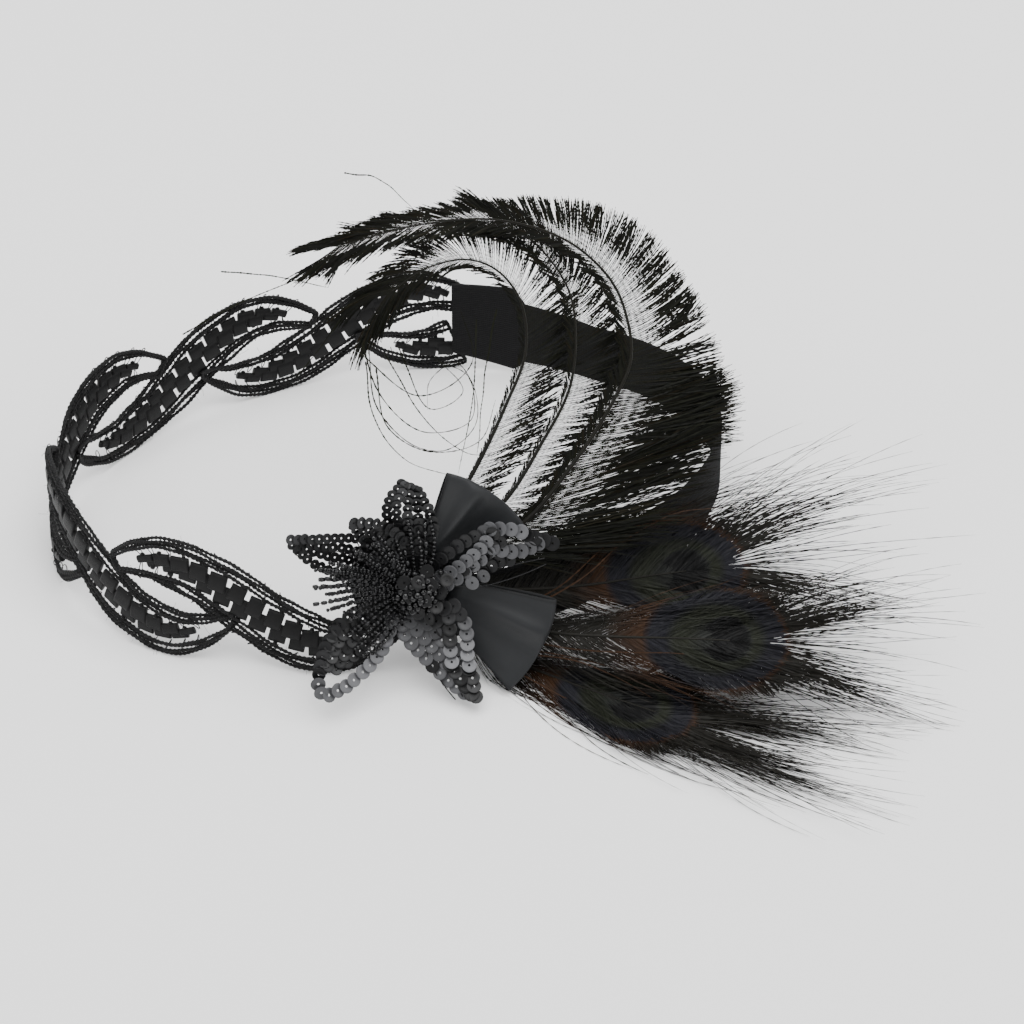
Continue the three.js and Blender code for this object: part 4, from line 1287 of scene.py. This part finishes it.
class Spine:
    """A feather's quill: its path, and axes along, beside and square to its vane."""

    def __init__(self, points, face):
        self.path, self.run = smooth_path(points)
        self.length = self.run[-1]
        self.along = unit(np.gradient(self.path, axis=0))
        self.side = unit(np.cross(face, self.along))
        self.face = np.cross(self.along, self.side)

    def at(self, share):
        where = np.asarray(share, float) * self.length
        axes = (unit(read_off(where, self.run, rows))
                for rows in (self.along, self.side, self.face))
        return read_off(where, self.run, self.path), *axes


def quill(stock, spine, low, high):
    share = np.linspace(low, high, 90)
    path, _, _, face = spine.at(share)
    radius = QUILL_DIAMETER / 2 * (1 - QUILL_TAPER * share) * QUILL_SHARE
    tube(stock, path, radius, face, sides=8, flat=QUILL_FLAT, run=share * spine.length / MM)


def table(rows, share):
    rows = np.asarray(rows, float)
    return [np.interp(share, rows[:, 0], rows[:, k]) for k in range(1, rows.shape[1])]


def barb_paths(spine, share, side, angle, length, sweep, chance, points, lock, pull, stray,
               drift=None):
    """Paths of barbs that leave the quill at an angle and bend towards its tip. Barbs that root
    in one lock draw together."""
    place, along, across, face = spine.at(share)
    locks = np.floor(share * spine.length / lock).astype(int)
    count = locks.max() + 2
    lock_turn = chance.normal(0, LOCK_TURN, count)[locks]
    lock_lift = chance.normal(0, LOCK_LIFT, count)[locks]
    centre = (locks + 0.5) * lock / spine.length - share
    u = np.linspace(0, 1, points)
    own = chance.normal(0, stray, len(share))
    bend = chance.normal(0, stray * 2.5, len(share))
    wave = chance.uniform(0, 2 * math.pi, len(share))
    turn = (angle[:, None] * (1 - sweep * u) + own[:, None] + lock_turn[:, None] * u * 2
            + bend[:, None] * u + BARB_WAVE * np.sin(5 * u + wave[:, None]) * u)
    own_lift = chance.normal(0, stray, len(share))
    rise = lock_lift[:, None] * 2 * u + own_lift[:, None] * 2 * u
    heading = (np.cos(turn)[..., None] * along[:, None]
               + (side[:, None] * np.sin(turn))[..., None] * across[:, None]
               + rise[..., None] * face[:, None])
    if drift is not None:
        heading = heading + (u * u)[None, :, None] * drift[:, None]
    heading = unit(heading)
    steps = heading * (length / (points - 1))[:, None, None]
    steps = np.concatenate([np.zeros((len(share), 1, 3)), steps[:, :-1]], 1)
    path = place[:, None] + steps.cumsum(1)
    draw = (pull * centre * spine.length)[:, None] * (u ** 1.2)
    path = path + draw[..., None] * along[:, None]
    path[..., 2] = np.maximum(path[..., 2], BARB_FLOOR)
    return path, face


def lay_barbs(stock, path, face, width, chance, mark=0.0, tone=None, fringe=0.55, bare=0.0):
    """Barbs as thin strips whose edges swell and narrow with their barbules. A barb is bare and
    thinner up to a share of its length."""
    count, points = path.shape[:2]
    heading = unit(np.gradient(path, axis=1))
    u = np.linspace(0, 1, points)
    twist = chance.uniform(-BARB_TWIST, BARB_TWIST, (count, 1))
    twist = twist + chance.normal(0, BARB_CURL, (count, 1)) * u
    flat = unit(np.cross(face[:, None], heading))
    square = np.cross(heading, flat)
    across = flat * np.cos(twist)[..., None] + square * np.sin(twist)[..., None]
    taper = np.clip(8 * (1.04 - u), 0, 1)
    if bare:
        dressed = np.clip((u - 0.7 * bare) / (0.7 * bare), 0, 1)
        taper = (BARE_WIDTH + (1 - BARE_WIDTH) * dressed) * taper
    else:
        taper = (1 - TIP_WIDTH * u) * taper
    swell = np.where(np.arange(points) % 2 == 0, fringe, 1.0)
    half = (np.broadcast_to(width, (count,))[:, None] / 2) * taper * swell
    half = half * chance.uniform(0.6, 1.25, half.shape)
    edges = np.stack([path - across * half[..., None], path + across * half[..., None]], 2)
    tone = chance.uniform(0, 1, count) if tone is None else tone
    mark = np.asarray(mark, float)
    if mark.ndim == 2:
        mark = mark[..., None]
    stock.grid(edges, along=u, tone=np.asarray(tone)[:, None, None], mark=mark)


def loose_strands(stock, ways, chance, width=0.6 * MM, points=70, mark=0.0):
    """Long single barbs that follow their own ways, given across, up and out of the ornament."""
    for way in ways:
        path, _ = smooth_path(on_ornament(np.array(way) * MM), points)
        phase = chance.uniform(0, 6)
        wave = np.sin(np.linspace(phase, phase + 22, points))[:, None]
        path = path + STRAND_WAVE * wave * unit(chance.normal(0, 1, 3))
        path[:, 2] = np.maximum(path[:, 2], BARB_FLOOR)
        lay_barbs(stock, path[None], OUT[None], width, chance, mark=mark, tone=[0.8], fringe=0.6)


def eye_spine(name):
    seat, tilt, low, rows = EYE_FEATHERS[name]
    turn = math.radians(seat)
    points = [(QUILL_SEAT * math.cos(turn), QUILL_SEAT * math.sin(turn), QUILL_LAYER)]
    points += [tuple(v * EYE_REACH for v in row) for row in rows]
    tilt = math.radians(tilt)
    path = on_ornament(points)
    path[:, 2] = np.maximum(path[:, 2], low * EYE_REACH + SHIFT[2])
    return Spine(path, np.array([0.0, -math.cos(tilt), math.sin(tilt)]))


def sword_spine(name):
    seat, plane, rows = SWORD_FEATHERS[name]
    turn = math.radians(seat)
    shift = (plane - 1) * SWORD_STEP
    points = [(QUILL_SEAT * math.cos(turn), QUILL_SEAT * math.sin(turn), QUILL_LAYER)]
    for x, y in rows:
        up = y * SWORD_REACH
        back = SWORD_BACK * max(0.0, up - SWORD_BACK_FROM)
        points.append((x * SWORD_REACH, up,
                       QUILL_LAYER - back + shift * min(1.0, up / SWORD_SETTLE)))
    face = unit(np.array([0.0, SWORD_BACK, 1.0]))
    return Spine(on_ornament(points), face @ np.stack([RIGHT, UP, OUT]))


# Operators

class HEADBAND_OT_trim(bpy.types.Operator):
    """Lays the scrolled leaves of gimp cord, wrapped blocks and knots round the band"""
    bl_idname = "headband.trim"
    bl_label = "Gimp Trim"

    def execute(self, context):
        sizes = context.scene.headband_trim
        thread = thread_material(sizes.colour)
        wrap = wrap_material(sizes.colour)
        for index in range(LEAF_COUNT):
            chance = np.random.default_rng(100 + index)
            cut = LAST_LEAF_SHARE + LEAF_TUCK if index == LEAF_COUNT - 1 else 1.0
            cords, blocks = Stock(), Stock()
            leaf_cords(cords, index, cut, sizes, chance)
            leaf_stitches(cords, index, cut, sizes, chance)
            leaf_fuzz(cords, index, cut, sizes, chance)
            leaf_blocks(blocks, index, cut, sizes, chance)
            cords.make(f"trim_cords_{index + 1}", thread, "gimp_cord", f"trim_leaf_{index + 1}")
            if blocks.count:
                blocks.make(f"trim_chain_{index + 1}", wrap, "gimp_cord")
        return {"FINISHED"}


class HEADBAND_OT_elastic(bpy.types.Operator):
    """Runs the ribbed elastic from under the last leaf round to the flower"""
    bl_idname = "headband.elastic"
    bl_label = "Elastic"

    def execute(self, context):
        sizes = context.scene.headband_elastic
        run_length = LOOP_RUNS[-1] - ELASTIC_START - ELASTIC_END
        share = np.linspace(0, 1, 120)
        low, high, inside = (np.interp(share, ELASTIC_ROWS[:, 0], ELASTIC_ROWS[:, k])
                             for k in (1, 2, 3))
        width = (high - low).max() * TRIM_HEIGHT
        ribs = int(width / sizes.rib_pitch)
        across = np.linspace(0, 1, ribs * 4 + 1)
        groove = sizes.rib_depth * (0.5 - 0.5 * np.cos(across * ribs * 2 * math.pi))
        edge = np.minimum(1, np.minimum(across, 1 - across) * ribs)
        half = (ELASTIC_THICKNESS / 2 - sizes.rib_depth + groove) * (0.45 + 0.55 * edge)
        level = ELASTIC_THICKNESS / 2 - inside * (ELASTIC_THICKNESS + CLEARANCE)
        loop_across = np.concatenate([across, across[::-1]])
        loop_out = np.concatenate([half, -half[::-1]])
        heights = (low[:, None] + (high - low)[:, None] * loop_across[None]) * TRIM_HEIGHT
        runs = np.broadcast_to((ELASTIC_START + share * run_length)[:, None], heights.shape)
        stock = Stock()
        rings = on_band(runs, heights, level[:, None] + loop_out[None])
        across_uv = np.concatenate([loop_across, [0.0]]) * width / MM
        stock.grid(rings[:, ::-1], wrap=True, along=share * run_length / MM,
                   across=across_uv[::-1])
        for k in (0, -1):
            face = rings[k][::-1] if k else rings[k]
            n = len(across)
            pair = np.stack([face[:n], face[n:][::-1]], 0)
            stock.grid(pair)
        stock.make("elastic_band", elastic_material(sizes.colour), "elastic_web", "elastic")
        return {"FINISHED"}


class HEADBAND_OT_flower(bpy.types.Operator):
    """Sews the petals of sequins, the bead fringe and the centre on their felt"""
    bl_idname = "headband.flower"
    bl_label = "Sequin Flower"

    def execute(self, context):
        sizes = context.scene.headband_flower
        foil = sequin_material(sizes.sequin_colour)
        glass = bead_material(sizes.bead_colour)
        felt = felt_material(sizes.felt_colour)
        for name in ("felt_pad", "flower_back"):
            for slot in bpy.data.objects[name].material_slots:
                slot.material = felt
        for number, name in enumerate(PETALS):
            chance = np.random.default_rng(200 + number)
            petal = PETALS[name]
            disc, bead = Stock(), Stock()
            petal_sequins(disc, name, chance)
            disc.make(f"{name}_sequins", foil, "sequins", name)
            beaded = petal[5]
            if not beaded:
                continue
            length = petal[1] * FLOWER_REACH
            x = np.linspace(PETAL_START, length - 3 * MM, 24)
            for side in PETAL_THREADS:
                path = on_ornament(petal_place(petal, x, side * petal_edge(petal, x), 0.5 * MM))
                tube(bead, path, PETAL_THREAD_RADIUS, OUT, sides=5)
            turn = math.radians(petal[0])
            strings = MANY_STRINGS if beaded > BEADED_SHARE else FEW_STRINGS
            for k in range(strings):
                aim = (k / (strings - 1) - 0.5) * 2
                end = length / MM * beaded * chance.uniform(0.75, 1.12)
                edge = float(petal_edge(petal, np.array(end * MM))) / MM
                way = [(4, aim * 2.4), (end * 0.5, aim * edge * chance.uniform(0.5, 1.0)),
                       (end, aim * edge * 0.95)]
                way = [(a * math.cos(turn) - b * math.sin(turn),
                        a * math.sin(turn) + b * math.cos(turn)) for a, b in way]
                strung_beads(bead, petal, way, (2.2 + 0.5 * (k % 3)) * MM, sizes, chance,
                             k % 3 == 1)
            bead.make(f"{name}_beads", glass, "beads")
        self.fringe(sizes, glass)
        self.centre(sizes, glass, foil)
        return {"FINISHED"}

    def fringe(self, sizes, glass):
        chance = np.random.default_rng(301)
        stock = Stock()
        for i, (across, up) in enumerate(FRINGE_ENDS):
            for shift in (-FRINGE_SHIFT, FRINGE_SHIFT):
                reach = chance.uniform(0.8, 1.0)
                way = [(-4, 1 + shift), (0.5 * across, 0.5 * up + shift + 1),
                       (reach * across, reach * up + 1.4 * shift)]
                strung_beads(stock, FRINGE, way, (0.6 + 0.5 * (i % 3)) * MM, sizes, chance,
                             (i + (shift > 0)) % 3 == 1)
        stock.make("bead_fringe_strings", glass, "beads", "bead_fringe")

    def centre(self, sizes, glass, foil):
        chance = np.random.default_rng(302)
        stock, discs = Stock(), Stock()
        layer = PETAL_LAYER + 2 * LAYER_STEP + CLUSTER_LIFT
        places, axes, radii = [], [], []
        for k in range(CLUSTER_COUNT):
            turn = k * CLUSTER_TURN
            out = CLUSTER_RADIUS * math.sqrt(k / CLUSTER_COUNT)
            height = CLUSTER_HEIGHT * (1 - (out / CLUSTER_DOME_RADIUS) ** 2)
            places.append((out * math.cos(turn), out * math.sin(turn), layer + height))
            axes.append(chance.normal(0, 1, 3))
            radii.append(chance.uniform(0.8, 1.3) * MM)
        beads(stock, on_ornament(places), np.array(axes), np.array(radii), hole=0.22,
              length=0.85, sides=10, rows=8,
              tone=chance.uniform(0, 1, CLUSTER_COUNT)[:, None, None])
        stock.make("bead_centre_cluster", glass, "beads", "bead_centre")
        spots = np.array(CENTRE_SEQUINS) * MM
        spots[:, 2] += PETAL_LAYER + LAYER_STEP
        aim = unit(np.array([-0.1, 0.3, 0.95]) + chance.normal(0, 0.25, spots.shape))
        # Tone 0.08 paints these sequins dark, as painted shade of foil that reflects no lamp.
        sequins(discs, on_ornament(spots), aim @ np.stack([RIGHT, UP, OUT]),
                sizes.sequin_diameter, 0.08, chance)
        discs.make("centre_sequins", foil, "sequins")


class HEADBAND_OT_ribbon(bpy.types.Operator):
    """Folds the two satin ribbon leaves beside the flower"""
    bl_idname = "headband.ribbon"
    bl_label = "Ribbon Leaves"

    def execute(self, context):
        sizes = context.scene.headband_ribbon
        satin = satin_material(sizes.colour)
        for name, row in RIBBON_LEAVES.items():
            length, base, end, opening, rise = (v * FLOWER_REACH for v in row[1:])
            turn = math.radians(row[0])
            u = np.linspace(0, 1, RIBBON_ROWS)[:, None]
            v = np.linspace(-0.5, 0.5, RIBBON_COLUMNS)[None]
            half = u * math.pi
            share = np.sin(half) ** RIBBON_ROUNDING
            gap = FLOWER_BACK_THICKNESS - 2 * RIBBON_THICKNESS - CLEARANCE
            spread = gap / 2 + opening * share ** 2
            level = -np.cos(half) * (spread + RIBBON_THICKNESS / 2)
            top = np.clip((u - 0.5) * 2, 0, 1)
            fold = np.exp(-((v - 0.16) / 0.1) ** 2) * np.sin(math.pi * top) ** 1.2
            dip = np.exp(-((v + 0.12) / 0.16) ** 2) * np.sin(math.pi * top)
            along = FLOWER_BACK_RADIUS + CLEARANCE + length * share * (
                1 - CORNER_CUT * (2 * np.abs(v)) ** CORNER_ROUNDING * share)
            width = base + (end - base) * share
            layer = (BACK_LAYER + RIBBON_THICKNESS + spread + rise * share ** 1.5 + level
                     + fold * RIBBON_FOLD - dip * RIBBON_DIP)
            points = np.stack([
                along * math.cos(turn) - v * width * math.sin(turn),
                along * math.sin(turn) + v * width * math.cos(turn),
                np.broadcast_to(layer, along.shape)], -1)
            sheet = on_ornament(points)
            run = 2 * length / MM * np.linspace(0, 1, RIBBON_ROWS)
            stock = Stock()
            edge = np.clip((np.abs(v) - SELVEDGE_FROM) / SELVEDGE_SOFT, 0, 1) * np.ones_like(u)
            stock.grid(sheet, along=run, mark=edge[None],
                       across=np.linspace(0, (base + end) / 2 / MM, RIBBON_COLUMNS))
            piece = stock.make(f"{name}_satin", satin, "satin_ribbon", name)
            thick = piece.modifiers.new("thickness", "SOLIDIFY")
            thick.thickness = sizes.thickness
            thick.offset = 0
        return {"FINISHED"}


class HEADBAND_OT_eye_feathers(bpy.types.Operator):
    """Grows the three peacock eye feathers, barb by barb"""
    bl_idname = "headband.eye_feathers"
    bl_label = "Eye Feathers"

    def execute(self, context):
        sizes = context.scene.headband_feathers
        vane = eye_material(sizes)
        horn = quill_material(sizes.black)
        for number, name in enumerate(EYE_FEATHERS):
            chance = np.random.default_rng(400 + number)
            spine = eye_spine(name)
            rod, barbs = Stock(), Stock()
            quill(rod, spine, 0, 1 - 16 * MM / spine.length)
            rod.make(f"{name}_quill", horn, "eye_plume")
            self.vane(barbs, name, spine, sizes, chance)
            barbs.make(f"{name}_vane", vane, "eye_plume", name)
        red = Stock()
        loose_strands(red, RED_STRANDS, np.random.default_rng(450), mark=0.62)
        red.make("red_strands", vane, "eye_plume")
        return {"FINISHED"}

    def vane(self, stock, name, spine, sizes, chance):
        length = spine.length
        rows, middle_back, droop = EYE_VANES[name]
        count = int(length / sizes.eye_barb_pitch)
        share = chance.uniform(0, 1, 2 * count) ** EYE_CROWDING
        share = np.sort(EYE_FROM + (EYE_TO - EYE_FROM) * share)
        side = np.where(np.arange(2 * count) % 2 == 0, 1.0, -1.0)
        crown = count // 3
        share = np.concatenate([share, chance.uniform(CROWN_FROM, EYE_TO, crown)])
        side = np.concatenate([side, chance.choice([-1.0, 1.0], crown)])
        up_angle, up_reach, down_angle, down_reach = table(rows, share)
        angle = np.radians(np.where(side > 0, up_angle, down_angle))
        angle[-crown:] *= chance.uniform(0, CROWN_SPREAD, crown)
        reach = np.where(side > 0, up_reach, down_reach) * MM
        wisp = chance.uniform(size=len(share)) < WISP_SHARE
        reach = reach * np.where(wisp, chance.uniform(0.95, 1.2, len(share)),
                                 chance.uniform(0.4, 0.92, len(share)))
        drift = np.tile([EYE_DRIFT, 0.0, 0.0], (len(share), 1))
        drift[side < 0, 2] = -droop
        path, face = barb_paths(spine, share, side, angle, reach, EYE_SWEEP, chance, points=26,
                                lock=1.6 * MM, pull=0.55, stray=0.05, drift=drift)
        middle = 1 - middle_back * MM / length
        lay_barbs(stock, path, face, sizes.barb_width * np.where(wisp, WISP_WIDTH, 1.0), chance,
                  mark=self.rings(path, spine, middle), tone=chance.uniform(0, 1, len(share)))
        # The eye itself is a close vane of short barbs
        row = EYE_ROWS
        share = np.tile(middle + row * EYE_HALF_LENGTH / length, 2)
        keep = (share > 0) & (share < 0.985)
        side = np.repeat([-1.0, 1.0], len(row))[keep]
        share, row = share[keep], np.tile(row, 2)[keep]
        inside = np.sqrt(np.clip(1 - np.clip(np.abs(row + 0.3), 0, 1) ** 2.4, 0.02, 1))
        reach = (EYE_HALF_WIDTH * 1.35 * inside + 1.5 * MM) * chance.uniform(0.94, 1.02, len(share))
        path, face = barb_paths(spine, share, side, np.full(len(share), DISC_ANGLE), reach,
                                DISC_SWEEP, chance, points=22, lock=30 * MM, pull=0.0, stray=0.012)
        lay_barbs(stock, path - face[:, None] * DISC_DEPTH, face, DISC_BARB_WIDTH, chance,
                  mark=self.rings(path, spine, middle), tone=chance.uniform(0.4, 0.6, len(share)),
                  fringe=0.95)

    def rings(self, path, spine, middle):
        """Which ring of the eye each point of a barb lies in."""
        centre, along, across, _ = spine.at(middle)
        away = path - centre
        du, dv = away @ along, away @ across
        rim = np.sqrt((du / EYE_HALF_LENGTH) ** 2 + (dv / EYE_HALF_WIDTH) ** 2)
        heart = np.sqrt(((du - HEART_CENTRE) / HEART_LENGTH) ** 2 + (dv / HEART_WIDTH) ** 2)
        notch = np.sqrt(((du - NOTCH_CENTRE) / NOTCH_LENGTH) ** 2 + (dv / NOTCH_WIDTH) ** 2)
        outside = np.minimum(0.53 + (rim - 1) * 0.8, 1.0)
        outside = outside + (1 - outside) * np.clip(du / (18 * MM), 0, 1)
        mark = np.where(rim < 1, 0.13 + 0.4 * rim, outside)
        return np.where((heart < 1) & (notch > 1), 0.1 * heart, mark)


class HEADBAND_OT_sword_feathers(bpy.types.Operator):
    """Grows the three curled sword feathers and their loose strands"""
    bl_idname = "headband.sword_feathers"
    bl_label = "Sword Feathers"

    def execute(self, context):
        sizes = context.scene.headband_feathers
        vane = plume_material(sizes.black)
        horn = quill_material(sizes.black)
        for number, name in enumerate(SWORD_FEATHERS):
            chance = np.random.default_rng(500 + number)
            spine = sword_spine(name)
            rod, barbs = Stock(), Stock()
            quill(rod, spine, 0, 0.985)
            rod.make(f"{name}_quill", horn, "sword_plume")
            for side in (-1.0, 1.0):
                self.vane(barbs, spine, name, side, sizes, chance)
            barbs.make(f"{name}_vane", vane, "sword_plume", name)
        self.strands(vane)
        return {"FINISHED"}

    def vane(self, stock, spine, name, side, sizes, chance):
        rows = SWORD_VANES[name]
        share = np.linspace(0, 1, SWORD_SHARES)
        pitch = np.interp(share, [row[0] for row in rows], [row[5] for row in rows]) * MM
        if side > 0:
            pitch = pitch * INNER_PITCH
        number = np.concatenate([[0], np.cumsum(spine.length / (SWORD_SHARES - 1) / pitch[1:])])
        share = np.interp(np.arange(0.5, number[-1]), number, share)
        share = np.clip(share + chance.normal(0, 0.0006, len(share)), 0, 1)
        outer, inner, outer_angle, inner_angle, _ = table(rows, share)
        reach = (outer if side < 0 else inner) * MM
        angle = np.radians(outer_angle if side < 0 else inner_angle)
        keep = reach > 1.5 * MM
        share, reach, angle = share[keep], reach[keep], angle[keep]
        short = chance.uniform(size=len(share)) < SHORT_SHARE
        reach = reach * np.where(short, chance.uniform(0.5, 0.9, len(share)),
                                 chance.uniform(0.93, 1.07, len(share)))
        fall = np.clip((share - FALL_FROM) / (1 - FALL_FROM), 0, 1)[:, None]
        fall = fall * np.array(SWORD_FALL[name])
        path, face = barb_paths(spine, share, np.full(len(share), side), angle, reach,
                                SWORD_SWEEP, chance, points=24, lock=1.3 * MM, pull=0.25,
                                stray=0.03, drift=fall)
        lay_barbs(stock, path, face, sizes.barb_width, chance, bare=SWORD_BARE, fringe=0.4)

    def strands(self, vane):
        """Strands that have come loose and hang in loops behind the flower."""
        stock = Stock()
        loose_strands(stock, LOOSE_STRANDS, np.random.default_rng(601))
        stock.make("loose_strands", vane, "sword_plume")


FLOOR_HALF = 3.0
ROOM_STRENGTH = 0.8
LAMPS = (
    ("overhead", (0.1, 0.15, 1.5), 1.6, 38), ("left", (-1.4, -0.3, 0.9), 1.0, 8),
    ("right", (1.4, -0.2, 1.0), 1.0, 8),
)  # name, place, size and power
CAMERA_TARGET = np.array([38.1, -9.2, 8.8]) * MM
CAMERA_ELEVATION = math.radians(45)


class HEADBAND_OT_stage(bpy.types.Operator):
    """Sets the pale floor, the soft lights and the camera"""
    bl_idname = "headband.stage"
    bl_label = "Stage"

    def execute(self, context):
        sizes = context.scene.headband_stage
        mesh = bpy.data.meshes.new("floor")
        half = FLOOR_HALF
        mesh.from_pydata([(-half, -half, 0), (half, -half, 0), (half, half, 0), (-half, half, 0)],
                         [], [(0, 1, 2, 3)])
        floor = bpy.data.objects.new("floor", mesh)
        context.scene.collection.objects.link(floor)
        paint, _, surface = shader("floor_paper", 0.9)
        surface.inputs["Base Color"].default_value = (*sizes.floor_colour, 1)
        mesh.materials.append(paint)
        world = bpy.data.worlds.new("soft_room")
        world.use_nodes = True
        sky = world.node_tree.nodes["Background"]
        sky.inputs["Color"].default_value = (1, 1, 1, 1)
        sky.inputs["Strength"].default_value = ROOM_STRENGTH
        context.scene.world = world
        for name, place, size, power in LAMPS:
            light = bpy.data.lights.new(name, "AREA")
            light.shape = "SQUARE"
            light.size = size
            light.energy = power
            lamp = bpy.data.objects.new(name, light)
            lamp.location = place
            lamp.rotation_euler = Vector(place).to_track_quat("Z", "Y").to_euler()
            context.scene.collection.objects.link(lamp)
        target = CAMERA_TARGET + SHIFT
        elevation = CAMERA_ELEVATION
        away = np.array([0, -math.cos(elevation), math.sin(elevation)]) * sizes.camera_distance
        lens = bpy.data.cameras.new("camera")
        lens.sensor_width = 36
        lens.lens = sizes.focal_length
        lens.clip_end = 20
        camera = bpy.data.objects.new("camera", lens)
        camera.location = target + away
        camera.rotation_euler = (math.pi / 2 - elevation, 0, 0)
        context.scene.collection.objects.link(camera)
        context.scene.camera = camera
        return {"FINISHED"}


OPERATORS = (
    HEADBAND_OT_stage, HEADBAND_OT_trim, HEADBAND_OT_elastic, HEADBAND_OT_flower,
    HEADBAND_OT_ribbon, HEADBAND_OT_eye_feathers, HEADBAND_OT_sword_feathers,
)


class HEADBAND_PT_panel(bpy.types.Panel):
    """Sizes and steps of the headband"""
    bl_idname = "HEADBAND_PT_panel"
    bl_label = "Headband"
    bl_space_type = "VIEW_3D"
    bl_region_type = "UI"
    bl_category = "Headband"

    def draw(self, context):
        layout = self.layout
        for key, group in GROUPS.items():
            box = layout.box()
            box.label(text=group.__name__.replace("Sizes", ""))
            sizes = getattr(context.scene, key)
            for prop in group.__annotations__:
                box.prop(sizes, prop)
        for operator in OPERATORS:
            layout.operator(operator.bl_idname)


def register():
    for group in GROUPS.values():
        bpy.utils.register_class(group)
    for key, group in GROUPS.items():
        setattr(bpy.types.Scene, key, PointerProperty(type=group))
    for cls in (*OPERATORS, HEADBAND_PT_panel):
        bpy.utils.register_class(cls)


def unregister():
    for cls in (HEADBAND_PT_panel, *reversed(OPERATORS)):
        bpy.utils.unregister_class(cls)
    for key in GROUPS:
        delattr(bpy.types.Scene, key)
    for group in GROUPS.values():
        bpy.utils.unregister_class(group)


def main():
    register()
    bpy.ops.headband.stage()
    bpy.ops.headband.trim()
    bpy.ops.headband.elastic()
    bpy.ops.headband.flower()
    bpy.ops.headband.ribbon()
    bpy.ops.headband.eye_feathers()
    bpy.ops.headband.sword_feathers()


if __name__ == "__main__":
    main()
